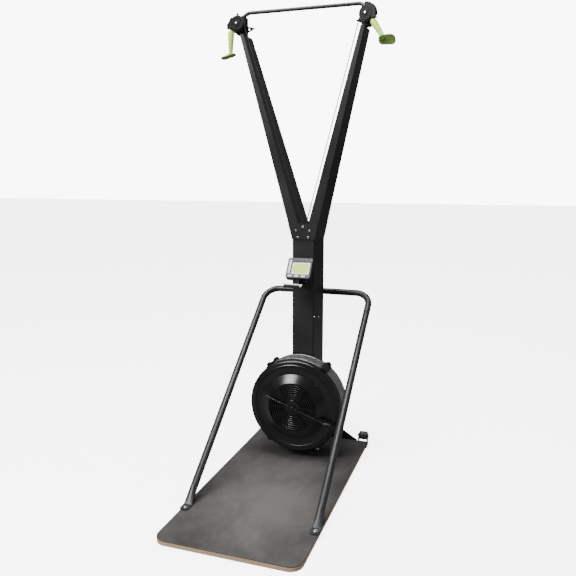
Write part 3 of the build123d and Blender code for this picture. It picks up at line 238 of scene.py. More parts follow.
def display_glass():
    """Pale green reflective display under a clear cover, lighter near its frame, with a faint painted glow."""
    paint = Paint("display")
    along = paint.axis(0)
    rise = paint.axis(2)
    side = paint.node("ShaderNodeMath", {"operation": "ABSOLUTE"}, {0: along - 0.008})
    high = paint.node("ShaderNodeMath", {"operation": "ABSOLUTE"}, {0: rise - 0.9623})
    rim = paint.node("ShaderNodeMath", {"operation": "MAXIMUM"}, {0: side * (1 / 0.044), 1: high * (1 / 0.0255)})
    cells = paint.noise(900.0, 1.0)
    colour = paint.mix(paint.band(rim, 0.78, 0.9), (0.60, 0.76, 0.20), (0.92, 0.92, 0.80))
    colour = paint.mix(paint.band(cells, 0.4, 0.6) * 0.06, colour, (0.5, 0.56, 0.38))
    # The faint emission is a painted glow: the reflective display gives no light of its own.
    return paint.finish(Base_Color=colour, Roughness=paint.band(cells, 0.3, 0.7, 0.1, 0.16), Coat_Weight=0.6,
                        Emission_Color=colour, Emission_Strength=0.12)


def circuit_green():
    paint = Paint("circuit_board")
    tracks = paint.cells(120.0, feature="DISTANCE_TO_EDGE")
    colour = paint.mix(paint.band(tracks, 0.02, 0.06), (0.10, 0.30, 0.12), (0.02, 0.10, 0.04))
    return paint.finish(Base_Color=colour, Roughness=0.35, Normal=paint.bump(tracks, 0.2, 0.0003))


BLACK = satin_coat("black_powder_coat", (0.011, 0.0108, 0.0115), (0.018, 0.0178, 0.019), 0.42, shine=0.4)
BRACE = satin_coat("brace_powder_coat", (0.012, 0.012, 0.014), (0.020, 0.020, 0.023), 0.38, shine=0.45)
FAN = satin_coat("fan_moulding", (0.0035, 0.0035, 0.004), (0.006, 0.006, 0.0065), 0.24, grain=1300.0, dust=0.03, shine=0.5)
HEAD = satin_coat("head_moulding", (0.006, 0.006, 0.008), (0.011, 0.011, 0.014), 0.55, grain=1300.0, dust=0.02, shine=0.2)
INNER = satin_coat("inner_moulding", (0.020, 0.020, 0.020), (0.035, 0.035, 0.035), 0.55, dust=0.15)
CASE = satin_coat("monitor_moulding", (0.052, 0.052, 0.060), (0.075, 0.075, 0.084), 0.42, grain=1500.0)
CASE_DARK = satin_coat("monitor_underside", (0.010, 0.010, 0.012), (0.018, 0.018, 0.020), 0.42)
ROLLER = satin_coat("roller_moulding", (0.045, 0.045, 0.050), (0.075, 0.075, 0.080), 0.34)
WHITE = satin_coat("white_keys", (0.74, 0.74, 0.74), (0.82, 0.82, 0.82), 0.30, dust=0.0)
STEEL = zinc_steel()
DULL_STEEL = satin_coat("black_zinc", (0.02, 0.02, 0.022), (0.035, 0.035, 0.037), 0.45, shine=0.4)
SHEET = screen_sheet()
RUBBER = deck_rubber()
WOOD = plywood()
CORD = braided("drive_cord_braid", (0.004, 0.004, 0.004), (0.016, 0.016, 0.016))
GRIP = soft_grip("grip_rubber", (0.60, 0.75, 0.12), (0.46, 0.60, 0.08))
# The hand rest gets a darker copy of the grip's green: painted shade, for the rest's underside seen in shadow.
SHADED_GRIP_GREEN = soft_grip("hand_rest", (0.20, 0.33, 0.07), (0.11, 0.18, 0.045), 0.5)
LCD = display_glass()
BOARD = circuit_green()

FINISHES = {
    "deck_wood": WOOD, "deck_rubber": RUBBER, "black_paint": BLACK, "steel": STEEL, "fan_black": FAN,
    "mesh_steel": SHEET, "inner_black": INNER, "grip_green": GRIP, "base_green": SHADED_GRIP_GREEN, "cord_black": CORD,
    "case_grey": CASE, "lcd": LCD, "button_white": WHITE, "board_green": BOARD, "roller_grey": ROLLER,
    "fan_grey": INNER,
}
OWN_FINISH = {
    "pulley_head_bolts": DULL_STEEL, "brace_tube": BRACE, "monitor_back": CASE_DARK, "device_ledge": CASE_DARK,
    "right_pulley_guard": HEAD, "left_pulley_guard": HEAD, "right_pulley_bracket": HEAD, "left_pulley_bracket": HEAD,
}


def dress_solids():
    """Every solid part gets the finish of its material slot, or one of its own."""
    slots = {row["node"]: row["material_slot"] for row in frame["record"]["subparts"]}
    for node, solid in frame["nodes"].items():
        finish = OWN_FINISH.get(node, FINISHES[slots[node]])
        solid.data.materials.clear()
        solid.data.materials.append(finish)


# Shapes. Lengths here are millimetres; finish_piece turns them into metres.

def seat(origin, forward, right=(1, 0, 0)):
    """A frame whose Z points along forward, for pieces that stand on a slanted face."""
    z = Vector(forward).normalized()
    x = (Vector(right) - z * Vector(right).dot(z)).normalized()
    frame_matrix = Matrix((x, z.cross(x), z)).transposed().to_4x4()
    frame_matrix.translation = Vector(origin)
    return frame_matrix


def spun(profile, steps=72, centre=(0, 0, 0), closed=True):
    """A profile of (radius, y) turned once about the Y axis through a centre."""
    bm = bmesh.new()
    verts = [bm.verts.new((radius, y, 0)) for radius, y in profile]
    edges = [bm.edges.new(pair) for pair in zip(verts, verts[1:])]
    if closed:
        edges.append(bm.edges.new((verts[-1], verts[0])))
    bmesh.ops.spin(bm, geom=verts + edges, cent=(0, 0, 0), axis=(0, 1, 0), angle=2 * math.pi, steps=steps,
                   use_merge=True)
    bmesh.ops.translate(bm, verts=bm.verts, vec=Vector(centre))
    return bm


def turned_on(profile, place, steps=48):
    """A profile of (radius, height) turned about a frame's Z axis."""
    bm = spun(profile, steps, closed=False)
    bmesh.ops.transform(bm, matrix=place @ Matrix.Rotation(math.radians(90), 4, "X"), verts=bm.verts)
    return bm


def block(size, place, bevel=1.0, segments=3):
    """A box of a size, centred on a frame, with rounded edges."""
    bm = bmesh.new()
    bmesh.ops.create_cube(bm, size=1.0, matrix=Matrix.Diagonal((*size, 1)))
    if bevel:
        bmesh.ops.bevel(bm, geom=bm.edges[:], offset=bevel, offset_type="OFFSET", segments=segments,
                        profile=0.5, affect="EDGES", material=-1, clamp_overlap=True)
    bmesh.ops.transform(bm, matrix=place, verts=bm.verts)
    return bm


def plate(corners, depth, place, bevel=0.8, segments=2, inset=None):
    """A flat outline in a frame's XY plane, pushed up by a depth, with softened edges."""
    bm = bmesh.new()
    face = bm.faces.new([bm.verts.new((x, y, 0)) for x, y in corners])
    if face.normal.z > 0:
        face.normal_flip()
    raised = bmesh.ops.extrude_face_region(bm, geom=[face])
    top = [item for item in raised["geom"] if isinstance(item, bmesh.types.BMVert)]
    bmesh.ops.translate(bm, verts=top, vec=(0, 0, depth))
    bmesh.ops.recalc_face_normals(bm, faces=bm.faces)
    if bevel:
        rims = [edge for edge in bm.edges if all(abs(v.co.z - depth) < 1e-6 for v in edge.verts)]
        bmesh.ops.bevel(bm, geom=rims, offset=bevel, offset_type="OFFSET", segments=segments, profile=0.5,
                        affect="EDGES", material=-1, clamp_overlap=True)
    bmesh.ops.transform(bm, matrix=place, verts=bm.verts)
    return bm


def rounded(width, height, radius, steps=5, centre=(0, 0)):
    """Corners of a rounded rectangle."""
    corners = []
    for cx, cy, start in ((1, 1, 0), (-1, 1, 90), (-1, -1, 180), (1, -1, 270)):
        for step in range(steps + 1):
            angle = math.radians(start + 90 * step / steps)
            corners.append((centre[0] + cx * (width / 2 - radius) + radius * math.cos(angle),
                            centre[1] + cy * (height / 2 - radius) + radius * math.sin(angle)))
    return corners


def tube(points, radius, sides=12, closed=False):
    """A round bar through points, with mitred corners: one ring bridged to the next."""
    bm = bmesh.new()
    places = [Vector(point) for point in points]
    rings = []
    up = None
    for index, point in enumerate(places):
        before = places[index - 1] if index or closed else point
        after = places[(index + 1) % len(places)] if index + 1 < len(places) or closed else point
        way = (after - before).normalized()
        up = (up - way * up.dot(way)).normalized() if up else way.orthogonal().normalized()
        side = way.cross(up)
        ring = [bm.verts.new(point + radius * (up * math.cos(turn) + side * math.sin(turn)))
                for turn in (2 * math.pi * step / sides for step in range(sides))]
        rings.append([bm.edges.new((ring[step - 1], ring[step])) for step in range(sides)])
    pairs = list(zip(rings, rings[1:]))
    if closed:
        pairs.append((rings[-1], rings[0]))
    for one, two in pairs:
        bmesh.ops.bridge_loops(bm, edges=one + two)
    if not closed:
        bmesh.ops.holes_fill(bm, edges=rings[0] + rings[-1], sides=0)
    return bm


def smooth_line(points, steps=6, closed=False):
    """More points on an even curve through the given ones."""
    places = [Vector(point) for point in points]
    count = len(places)
    line = []
    spans = count if closed else count - 1
    for index in range(spans):
        a, b, c, d = (places[(index + k) % count] if closed else places[max(0, min(count - 1, index + k))]
                      for k in (-1, 0, 1, 2))
        for step in range(steps):
            t = step / steps
            line.append(0.5 * (2 * b + (c - a) * t + (2 * a - 5 * b + 4 * c - d) * t * t
                               + (3 * b - a - 3 * c + d) * t ** 3))
    return line if closed else line + [places[-1]]


def joined(*parts):
    """Several shapes as one."""
    whole = bmesh.new()
    for part in parts:
        mesh = bpy.data.meshes.new("part")
        part.to_mesh(mesh)
        part.free()
        whole.from_mesh(mesh)
        bpy.data.meshes.remove(mesh)
    return whole


def finish_piece(name, bm, body, finish, replaces=(), bevel=0.0, subdivisions=0, thickness=0.0, smooth=True):
    """Turn a shape in millimetres into an object that rides on a body."""
    bmesh.ops.remove_doubles(bm, verts=bm.verts, dist=0.002)
    bmesh.ops.recalc_face_normals(bm, faces=bm.faces)
    bmesh.ops.scale(bm, vec=(0.001,) * 3, verts=bm.verts)
    for face in bm.faces:
        face.smooth = smooth
    for edge in bm.edges:
        edge.smooth = edge.calc_face_angle(0.0) < SMOOTH_ANGLE if edge.is_manifold else True
    mesh = bpy.data.meshes.new(name)
    bm.to_mesh(mesh)
    bm.free()
    mesh.materials.append(finish)
    piece = bpy.data.objects.new(name, mesh)
    bpy.context.scene.collection.objects.link(piece)
    if thickness:
        wall = piece.modifiers.new("wall", "SOLIDIFY")
        wall.thickness = thickness / 1000
        wall.offset = -1.0
    if bevel:
        soften = piece.modifiers.new("soften", "BEVEL")
        soften.width = bevel / 1000
        soften.segments = 2
        soften.limit_method = "ANGLE"
        soften.angle_limit = math.radians(40)
    if subdivisions:
        finer = piece.modifiers.new("finer", "SUBSURF")
        finer.levels = finer.render_levels = subdivisions
    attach(piece, body)
    if replaces:
        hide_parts(*replaces)
    return piece


# The fan brake

LOUVRE_Y = 235.0
CLIP_ANGLES = [36, 144, 216, 324]
AXIS = (0, 0, 294.0)


def round_the_fan(angle, radius, y):
    """A frame on the fan's rim: Z points away from the axis, Y runs along it."""
    turn = math.radians(angle)
    out = Vector((math.sin(turn), 0, math.cos(turn)))
    matrix = Matrix((Vector((out.z, 0, -out.x)), Vector((0, 1, 0)), out)).transposed().to_4x4()
    matrix.translation = Vector(AXIS) + out * radius + Vector((0, y, 0))
    return matrix


def fan_cover():
    shell = spun([
        (117.8, 237.0), (118.6, 235.3), (120.2, 234.9), (123.4, 234.9), (125.0, 235.6), (158.6, 259.4),
        (161.4, 261.2), (164.5, 262.0), (197.5, 262.0), (199.4, 261.5), (200.6, 260.4), (202.4, 259.8),
        (205.0, 259.8), (206.8, 260.4), (208.0, 261.5), (209.6, 262.0), (217.5, 262.0), (221.4, 262.7),
        (224.8, 264.4), (227.3, 267.3), (228.7, 271.0), (229.0, 275.0), (229.0, 290.6), (230.3, 291.8),
        (230.3, 299.6), (226.2, 299.6), (226.0, 275.0), (223.4, 268.6), (217.5, 265.2), (164.0, 265.2),
        (160.6, 264.4), (122.6, 238.2), (117.8, 238.2)], 144, AXIS)
    finish_piece("fan_cover_shell", shell, "frame", FAN, ["fan_front_cover"])
    rings = []
    for index in range(8):
        inner = 43.6 + 10.6 * index
        outer = inner + (6.0 if index < 7 else 0)
        if index == 7:
            continue
        rings.append(spun([(inner, 239.6), (inner + 0.2, 236.6), (inner + 1.5, 235.2), (outer - 1.3, 235.2),
                           (outer, 236.4), (outer, 239.6)], 96, AXIS))
    rings.append(spun([(9.2, 239.6), (9.2, 236.0), (10.2, 235.1), (30.0, 235.1), (36.6, 235.6), (38.6, 236.8),
                       (39.0, 239.6)], 96, AXIS))
    for index in range(6):
        rings.append(block((6, 104, 4.2), round_the_fan(60 * index + 30, 74, 240.3)
                           @ Matrix.Rotation(math.radians(90), 4, "X"), 0.8, 2))
    finish_piece("fan_louvres", joined(*rings), "frame", FAN)
    ribs = []
    for index in range(30):
        if (index * 12 + 6) % 72 in range(24, 49):
            continue
        ribs.append(block((2.4, 20, 1.6), round_the_fan(index * 12 + 6, 229.4, 281), 0.5, 1))
    finish_piece("fan_cover_ribs", joined(*ribs), "frame", FAN)
    wire = smooth_line([(160, 257.4, 447), (138, 256.8, 428), (112, 256.6, 411), (100, 256.6, 414),
                        (88, 256.8, 431)], 5)
    finish_piece("fan_release_tab", tube(wire, 2.0, 10), "frame", FAN)


def fan_band():
    """Expanded sheet round the fan: rows of slanted openings between two plain hems."""
    segments = 240
    rows = [300.2, 303.6] + [303.6 + 69.8 * row / 10 for row in range(1, 11)] + [376.8]
    bm = bmesh.new()
    verts = [bm.verts.new((228.9, y, 0)) for y in rows]
    edges = [bm.edges.new(pair) for pair in zip(verts, verts[1:])]
    bmesh.ops.spin(bm, geom=verts + edges, cent=(0, 0, 0), axis=(0, 1, 0), angle=2 * math.pi, steps=segments,
                   use_merge=True)
    bmesh.ops.remove_doubles(bm, verts=bm.verts, dist=0.01)
    half = math.pi / segments
    for row in range(2, len(rows) - 2, 2):
        ring = [vert for vert in bm.verts if abs(vert.co.y - rows[row]) < 0.01]
        bmesh.ops.rotate(bm, cent=(0, 0, 0), matrix=Matrix.Rotation(half, 3, "Y"), verts=ring)
    open_faces = [face for face in bm.faces if 303.6 < face.calc_center_median().y < 373.4]
    bmesh.ops.inset_individual(bm, faces=open_faces, thickness=1.15, use_even_offset=True)
    bmesh.ops.delete(bm, geom=open_faces, context="FACES")
    bmesh.ops.translate(bm, verts=bm.verts, vec=AXIS)
    finish_piece("fan_expanded_band", bm, "frame", SHEET, ["fan_mesh_band"], thickness=0.9,
                 smooth=False)
    hems = [spun([(227.4, y - 2), (230.0, y - 2), (230.6, y - 1.4), (230.6, y + 1.4), (230.0, y + 2),
                  (227.4, y + 2)], 144, AXIS) for y in (302.2, 374.8)]
    finish_piece("fan_band_hems", joined(*hems), "frame", SHEET)


def fan_latches():
    """Four over-centre latches: a strap over the band, a lug at each end and a lever between them."""
    parts = []
    for angle in CLIP_ANGLES:
        parts.append(block((40, 110, 4), round_the_fan(angle, 231.4, 338.5), 1.2, 2))
        for y in (290.5, 386.5):
            parts.append(block((27, 15, 12), round_the_fan(angle, 236.6, y), 3.2, 3))
            parts.append(block((12, 17, 5), round_the_fan(angle, 243.0, y), 1.8, 2))
        parts.append(block((17, 78, 5), round_the_fan(angle, 236.0, 338.5), 1.8, 3))
        for side in (-16, 16):
            parts.append(block((3, 70, 5.5), round_the_fan(angle, 235.0, 338.5) @ Matrix.Translation((side, 0, 0)),
                               1.0, 2))
    finish_piece("fan_latches", joined(*parts), "frame", FAN, ["fan_clips"])
    pins = []
    for angle in CLIP_ANGLES:
        for y in (290.5, 386.5):
            place = round_the_fan(angle, 239.0, y) @ Matrix.Translation((-14.6, 0, 0))
            place = place @ Matrix.Rotation(math.radians(90), 4, "Y")
            pins.append(turned_on([(0, 0), (1.8, 0), (2.4, 0.5), (2.4, 28.7), (1.8, 29.2), (0, 29.2)], place, 16))
    finish_piece("fan_latch_pins", joined(*pins), "frame", STEEL)


def damper_handle():
    """A thin ribbed arm across the louvres, ending in a leaf-shaped finger grip."""
    angle = math.radians(20.1)
    place = Matrix.Translation((0, 0, 294)) @ Matrix.Rotation(angle, 4, "Y")
    face = place @ Matrix.Rotation(math.radians(90), 4, "X")
    arm = plate([(-148, -1.6), (-146, -2.8), (-20, -3.4), (20, -3.6), (150, -3.0), (168, -4.0), (168, 4.0),
                 (150, 3.0), (20, 3.6), (-20, 3.4), (-146, 2.8), (-148, 1.6)], 4.0,
                face @ Matrix.Translation((0, 0, -232.0)), 1.4, 3)
    hub = turned_on([(0, 0), (12.6, 0), (12.6, 2.4), (11.6, 4.0), (8.0, 4.6), (7.0, 5.4), (0, 5.8)],
                    face @ Matrix.Translation((0, 0, -232.0)))
    outline = []
    for step in range(28):
        turn = 2 * math.pi * step / 28
        along = math.cos(turn)
        outline.append((191.5 + 28.5 * along, 11.5 * math.sin(turn) * (1.0 + 0.22 * along)))
    leaf = plate(outline, 15.0, face @ Matrix.Translation((0, 0, -237.4)), 5.5, 5)
    ridges = [block((1.6, 13, 1.2), face @ Matrix.Translation((186 + 5 * index, 0, -222.2)), 0.5, 2)
              for index in range(4)]
    finish_piece("damper_arm", joined(arm, hub, leaf, *ridges), "damper", FAN, ["damper_lever"])


# The monitor

FACE = seat((0, 331.9, 964.5), (0, -math.cos(MONITOR_TILT), math.sin(MONITOR_TILT)))


def lofted(loops, place, cap=False):
    """Outlines of equal count, each at a height in a frame, bridged one to the next."""
    bands = []
    for pair in zip(loops, loops[1:]):
        bm = bmesh.new()
        rings = []
        for corners, height in pair:
            verts = [bm.verts.new((x, y, height)) for x, y in corners]
            rings.append([bm.edges.new((verts[index - 1], verts[index])) for index in range(len(verts))])
        bmesh.ops.bridge_loops(bm, edges=rings[0] + rings[1])
        if cap and pair[1] is loops[-1]:
            bmesh.ops.holes_fill(bm, edges=rings[1], sides=0)
        bands.append(bm)
    whole = joined(*bands)
    bmesh.ops.transform(whole, matrix=place, verts=whole.verts)
    return whole


def monitor():
    window = (8, -1)
    bezel = lofted([
        (rounded(118, 102, 6.5), -8.9), (rounded(123, 107, 9), -8.9), (rounded(123, 107, 9), -2.4),
        (rounded(122.4, 106.4, 8.7), -1.0), (rounded(120.6, 104.6, 7.8), -0.2), (rounded(118, 102, 6.5), 0.0),
        (rounded(98, 72, 4.5, centre=window), 0.0), (rounded(96.4, 70.4, 4, centre=window), -0.5),
        (rounded(94.6, 68.6, 3.5, centre=window), -1.6), (rounded(90, 64, 2.5, centre=window), -2.2),
        (rounded(88.4, 62.4, 2, centre=window), -2.5)], FACE)
    finish_piece("monitor_bezel", bezel, "monitor", CASE, ["monitor_case"])
    mask = lofted([
        (rounded(95, 69, 3.5, centre=window), -1.5), (rounded(94, 68, 3.2, centre=window), -1.1),
        (rounded(90.4, 64.4, 2.6, centre=window), -1.3), (rounded(88.6, 62.6, 2, centre=window), -2.6)], FACE)
    finish_piece("monitor_window_mask", mask, "monitor", CASE_DARK)
    strip = plate(rounded(11, 72, 3, centre=(-47.2, 5)), 1.0, FACE @ Matrix.Translation((0, 0, -0.2)), 0.6, 3)
    finish_piece("monitor_side_strip", strip, "monitor", WHITE)
    rims = []
    for x in (-39, -6, 27):
        rims.append(lofted([(rounded(25, 13.6, 3.2, centre=(x, -43.5)), -0.2),
                            (rounded(24.4, 13, 3, centre=(x, -43.5)), 0.5),
                            (rounded(22.6, 11.6, 2.4, centre=(x, -43.5)), 0.5),
                            (rounded(22, 11, 2.2, centre=(x, -43.5)), -0.4)], FACE))
    finish_piece("monitor_key_frames", joined(*rims), "monitor", CASE_DARK)
    for name, x in (("left_button", -39), ("middle_button", -6), ("right_button", 27)):
        body = {"left_button": "left_key", "middle_button": "middle_key", "right_button": "right_key"}[name]
        cap = lofted([(rounded(21, 10, 2.0, centre=(x, -43.5)), -2.6), (rounded(21, 10, 2.0, centre=(x, -43.5)), 0.9),
                      (rounded(20.2, 9.2, 1.8, centre=(x, -43.5)), 1.6), (rounded(18.4, 7.6, 1.4, centre=(x, -43.5)), 1.95),
                      (rounded(14, 4.6, 1.0, centre=(x, -43.5)), 1.85)], FACE, cap=True)
        finish_piece(name + "_cap", cap, body, WHITE, [name])
    seam = lofted([(rounded(123.6, 107.6, 9.3), -9.6), (rounded(124, 108, 9.5), -9.2),
                   (rounded(124, 108, 9.5), -8.6), (rounded(123.6, 107.6, 9.3), -8.2)], FACE)
    finish_piece("monitor_seam", seam, "monitor", CASE_DARK)
    # A white strip along the front of the dark ledge: painted highlight standing for the ledge's lit top face.
    trim = block((82, 4.6, 6.4), Matrix.Translation((-21, 279.0, 891.6)), 1.6, 4)
    finish_piece("ledge_highlight_strip", trim, "monitor", WHITE)
    pad = block((70, 34, 1.2), Matrix.Translation((-22, 299, 878.0)), 0.5, 2)
    finish_piece("ledge_pad", pad, "monitor", INNER)


# Handles

def handle(side, lean_out, lean_back, base_turn, base_back, base_out):
    name = "right" if side > 0 else "left"
    root = Matrix.Translation((side * 332.37, 324.97, 2067.7))
    lean = (Matrix.Translation((0, 0, -10)) @ Matrix.Rotation(math.radians(lean_back), 4, "X")
            @ Matrix.Rotation(math.radians(-side * lean_out), 4, "Y"))
    place = root @ lean
    knot = turned_on([(0, 0.0), (3.6, 0.0), (5.2, -0.8), (5.8, -2.4), (5.8, -8), (7.4, -9.5), (8.5, -11.5), (0, -12)],
                     root, 32)
    profile = [(0, 1.6), (9.4, 1.4), (11.6, 0.2), (12.9, -2.0), (13.9, -6.5), (14.5, -12.0), (14.4, -17.0),
               (14.0, -22.0), (13.75, -26.0), (13.9, -30.0), (13.7, -36.0), (13.0, -41.0), (12.6, -45.0),
               (12.7, -49.0), (12.4, -55.0), (11.6, -60.0), (11.2, -64.0), (11.3, -68.0), (10.9, -74.0),
               (10.2, -82.0), (9.8, -90.0), (9.8, -94.0), (10.4, -96.6), (10.9, -98.2), (0, -98.4)]
    sleeve = turned_on(profile, place, 48)
    rings = [turned_on([(9.6, -94.6 - 1.6 * index), (10.9, -94.8 - 1.6 * index), (10.9, -95.4 - 1.6 * index),
                        (9.6, -95.6 - 1.6 * index)], place, 40) for index in range(2)]
    finish_piece(name + "_grip_sleeve", joined(knot, sleeve, *rings), name + "_handle", GRIP,
                 [name + "_handle_grip"])
    rest = (place @ Matrix.Translation((0, 0, -103)) @ Matrix.Rotation(math.radians(base_turn), 4, "Y")
            @ Matrix.Rotation(math.radians(base_back), 4, "X") @ Matrix.Translation((side * base_out, 0, 0)))
    inner = -side
    corners = []
    for x, y in rounded(74, 48, 20, 8):
        squared = max(0.0, -inner * x / 37)
        corners.append((x + side * squared * y * 0.1, y * (1 + 0.08 * squared)))
    levels = ((0.3, 0.8), (0.72, 0.5), (0.88, 0.2), (0.955, -0.4), (0.992, -2.0), (1.0, -4.2), (0.99, -6.2),
              (0.95, -7.6), (0.89, -8.2), (0.83, -7.9), (0.79, -7.0), (0.3, -6.8))
    paddle = lofted([([(x * share, y * share) for x, y in corners], height) for share, height in levels], rest,
                    cap=True)
    collar = turned_on([(0, -97.6), (9.9, -97.8), (10.8, -99.0), (11.4, -101.2), (13.2, -103.4), (16.5, -105.0),
                        (0, -107.0)], place, 40)
    # The hand rest's finish is the grip green darkened as painted shade.
    finish_piece(name + "_hand_rest", joined(paddle, collar), name + "_handle", SHADED_GRIP_GREEN,
                 [name + "_handle_base"])


# Pulley heads

def head_frame(side):
    yaw = math.radians(12)
    facing = (-side * math.sin(yaw), -math.cos(yaw), 0)
    return seat((side * 304.0, 331.0, 2090.0), facing)


def pulley_heads():
    for side, name in ((1, "right"), (-1, "left")):
        place = head_frame(side)
        rim = turned_on([(24.5, 14.0), (25.2, 14.9), (26.6, 15.3), (28.0, 14.9), (28.7, 14.0)], place, 72)
        collar = turned_on([(9.2, 14.0), (9.8, 15.2), (12.2, 15.4), (13.4, 14.6), (13.8, 14.0)], place, 48)
        parts = [rim, collar]
        for index in range(5):
            turn = Matrix.Rotation(math.radians(36 + 72 * index), 4, "Z")
            parts.append(block((11.5, 2.2, 1.4), place @ turn @ Matrix.Translation((19, 0, 14.3)), 0.5, 2))
        back = turned_on([(35.5, -11.0), (36.2, -10.1), (39.2, -10.0), (40.3, -10.8), (40.3, -14.6), (39.6, -15.2),
                          (36.6, -15.2)], place, 96)
        parts.append(back)
        finish_piece(name + "_head_ribs", joined(*parts), "frame", HEAD)
        cap = turned_on([(0, 18.4), (3.6, 18.4), (5.0, 18.7), (5.4, 19.3), (4.6, 20.2), (2.6, 20.6), (0, 20.6)], place, 40)
        finish_piece(name + "_axle_cap", cap, "frame", STEEL)
        top = Matrix.Translation((side * 310.0, 351.7, 2126.0))
        sleeve = turned_on([(6.2, 0.0), (8.4, 0.0), (8.6, 0.8), (8.0, 2.2), (6.9, 3.0), (6.5, 8.6), (6.2, 9.0)], top, 40)
        finish_piece(name + "_post_sleeve", sleeve, "frame", ROLLER)


# Wheels, bolts and joints of the frame

def wheels():
    for side, name in ((1, "right"), (-1, "left")):
        profile = [(4.3, -21), (8.5, -21), (9.4, -20.2), (9.8, -17.5), (14.6, -17.2), (15.2, -20.2), (16.2, -21),
                   (19.4, -21), (21.3, -20.2), (22.0, -18.4)]
        for groove in (-12, -4, 4, 12):
            profile += [(22.0, groove - 1.6), (20.9, groove - 1.0), (20.9, groove + 1.0), (22.0, groove + 1.6)]
        profile += [(22.0, 18.4), (21.3, 20.2), (19.4, 21), (16.2, 21), (15.2, 20.2), (14.6, 17.2), (9.8, 17.5),
                    (9.4, 20.2), (8.5, 21), (4.3, 21)]
        roller = spun(profile, 64)
        place = seat((side * 273, 608, 43), (1, 0, 0), right=(0, 0, 1)) @ Matrix.Rotation(math.radians(90), 4, "X")
        bmesh.ops.transform(roller, matrix=place, verts=roller.verts)
        finish_piece(name + "_roller_tyre", roller, name + "_roller", ROLLER, [name + "_wheel"])


def hex_socket_shade():
    """Dark hexagons laid on the domed bolt heads that show: painted shade standing for their recessed key sockets."""
    lean = Vector((0, -1, -60.5 / 951)).normalized()
    spots = []
    for rise, spread in ((61, (0,)), (43, (34, -34)), (10, (26, -26))):
        y = 396.5 - 60.5 * rise / 951 - 4
        spots += [((x, y, 1095 + rise), (0, lean.y, lean.z), 3.2, 1.2) for x in spread]
    spots += [((x, y, 28), (0, 0, 1), 5, 3.4) for x in (-78, 78) for y in (400.5, 546.5)]
    spots += [((x, -331, 27), (0, 0, 1), 4, 3.0) for x in (-285, 285)]
    spots += [((56, 396.5 + y, z), (1, 0, 0), 3, 2.0) for y, z in ((11.5, 713), (84.5, 696))]
    keys = []
    for origin, way, height, radius in spots:
        keys.append(turned_on([(0, height + 0.12), (radius * 0.8, height + 0.12), (radius, height - 0.6)],
                              seat(origin, way, right=(0.02, 0.9, 0.3)), 6))
    # The dark finish on these raised hexagons is painted shade of the socket recesses.
    finish_piece("bolt_socket_shade", joined(*keys), "frame", INNER, smooth=False)


def washers():
    spots = [((x, y, 28), (0, 0, 1), 5.2, 11.5) for x in (-78, 78) for y in (400.5, 546.5)]
    spots += [((x, -331, 27), (0, 0, 1), 4.2, 10.5) for x in (-285, 285)]
    parts = [turned_on([(bore, 0), (outer, 0), (outer + 0.3, 0.5), (outer, 1.3), (bore, 1.4)], seat(origin, way), 40)
             for origin, way, bore, outer in spots]
    finish_piece("foot_washers", joined(*parts), "frame", STEEL)


def weld_beads():
    """Fillet welds where the column meets its foot and top plates."""
    parts = []
    for z, lift in ((28.0, 1), (1090.0, -1)):
        outline = rounded(112.6, 180.6, 7.2, 3)
        points = []
        for index, (x, y) in enumerate(outline):
            x2, y2 = outline[(index + 1) % len(outline)]
            count = max(1, int(math.hypot(x2 - x, y2 - y) / 3.2))
            points += [(x + (x2 - x) * k / count, 486.5 + y + (y2 - y) * k / count, z + 0.6 * lift) for k in range(count)]
        parts.append(tube(points, 2.2, 8, closed=True))
    finish_piece("column_welds", joined(*parts), "frame", BLACK)


# Camera, floor and lights

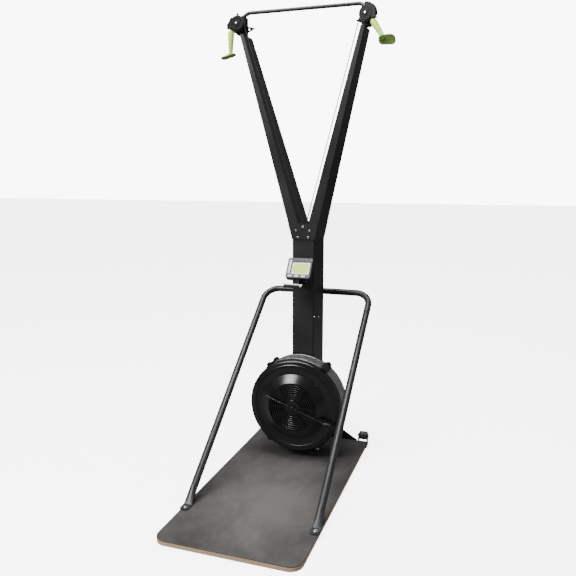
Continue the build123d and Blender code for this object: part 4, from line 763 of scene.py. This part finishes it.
def stage():
    bpy.ops.object.camera_add(location=(0.9224, -2.5232, 1.3992),
                              rotation=(math.radians(90 - 10.06), 0, math.radians(18.91)))
    camera = bpy.context.object
    camera.data.lens = 39.577
    camera.data.sensor_width = 36.0
    bpy.context.scene.camera = camera

    floor_paint = Paint("pale_floor")
    mottle = floor_paint.noise(3.0, 4.0)
    floor_paint.finish(Base_Color=floor_paint.mix(mottle, (0.90, 0.90, 0.90), (0.93, 0.93, 0.93)), Roughness=0.8,
                       Emission_Color=(1.0, 1.0, 1.0), Emission_Strength=5.0)
    seen = floor_paint.node("ShaderNodeLightPath", {}, {}, out="Is Camera Ray")
    shade = floor_paint.node("ShaderNodeBsdfDiffuse", {}, {"Color": (0.2, 0.2, 0.2)})
    pale = Tone(floor_paint, floor_paint.shader.outputs[0])
    floor_paint.feed(floor_paint.output.inputs[0], floor_paint.node("ShaderNodeMixShader", {}, {0: seen, 1: shade, 2: pale}))
    bm = bmesh.new()
    bmesh.ops.create_grid(bm, x_segments=2, y_segments=2, size=30.0)
    mesh = bpy.data.meshes.new("floor")
    bm.to_mesh(mesh)
    bm.free()
    mesh.materials.append(floor_paint.material)
    floor = bpy.data.objects.new("floor", mesh)
    bpy.context.scene.collection.objects.link(floor)

    world = bpy.data.worlds.new("studio")
    bpy.context.scene.world = world
    world.use_nodes = True
    tree = world.node_tree
    tree.nodes.clear()
    seen = tree.nodes.new("ShaderNodeBackground")
    seen.inputs[0].default_value = (1, 1, 1, 1)
    seen.inputs[1].default_value = 9.0
    light = tree.nodes.new("ShaderNodeBackground")
    light.inputs[0].default_value = (0.94, 0.96, 1.0, 1)
    light.inputs[1].default_value = 0.16
    path = tree.nodes.new("ShaderNodeLightPath")
    mix = tree.nodes.new("ShaderNodeMixShader")
    out = tree.nodes.new("ShaderNodeOutputWorld")
    tree.links.new(path.outputs["Is Camera Ray"], mix.inputs[0])
    tree.links.new(light.outputs[0], mix.inputs[1])
    tree.links.new(seen.outputs[0], mix.inputs[2])
    tree.links.new(mix.outputs[0], out.inputs[0])

    for name, place, target, size, power in (
        ("key", (-2.2, -3.2, 3.8), (0, 0.2, 0.9), 1.8, 290),
        ("fill", (3.4, -0.6, 1.6), (0, 0.3, 0.9), 2.0, 12),
        ("top", (-0.3, -0.2, 4.6), (0, 0.2, 0.4), 2.2, 270),
    ):
        data = bpy.data.lights.new(name, "AREA")
        data.energy = power
        data.size = size
        lamp = bpy.data.objects.new(name, data)
        lamp.location = place
        lamp.rotation_euler = (Vector(target) - Vector(place)).to_track_quat("-Z", "Y").to_euler()
        bpy.context.scene.collection.objects.link(lamp)


dress_solids()
fan_cover()
fan_band()
fan_latches()
damper_handle()
monitor()
handle(1, 33, -14, 33, -34, 12)
handle(-1, 2, 0, -16, 0, 13)
pulley_heads()
wheels()
hex_socket_shade()
washers()
weld_beads()
stage()
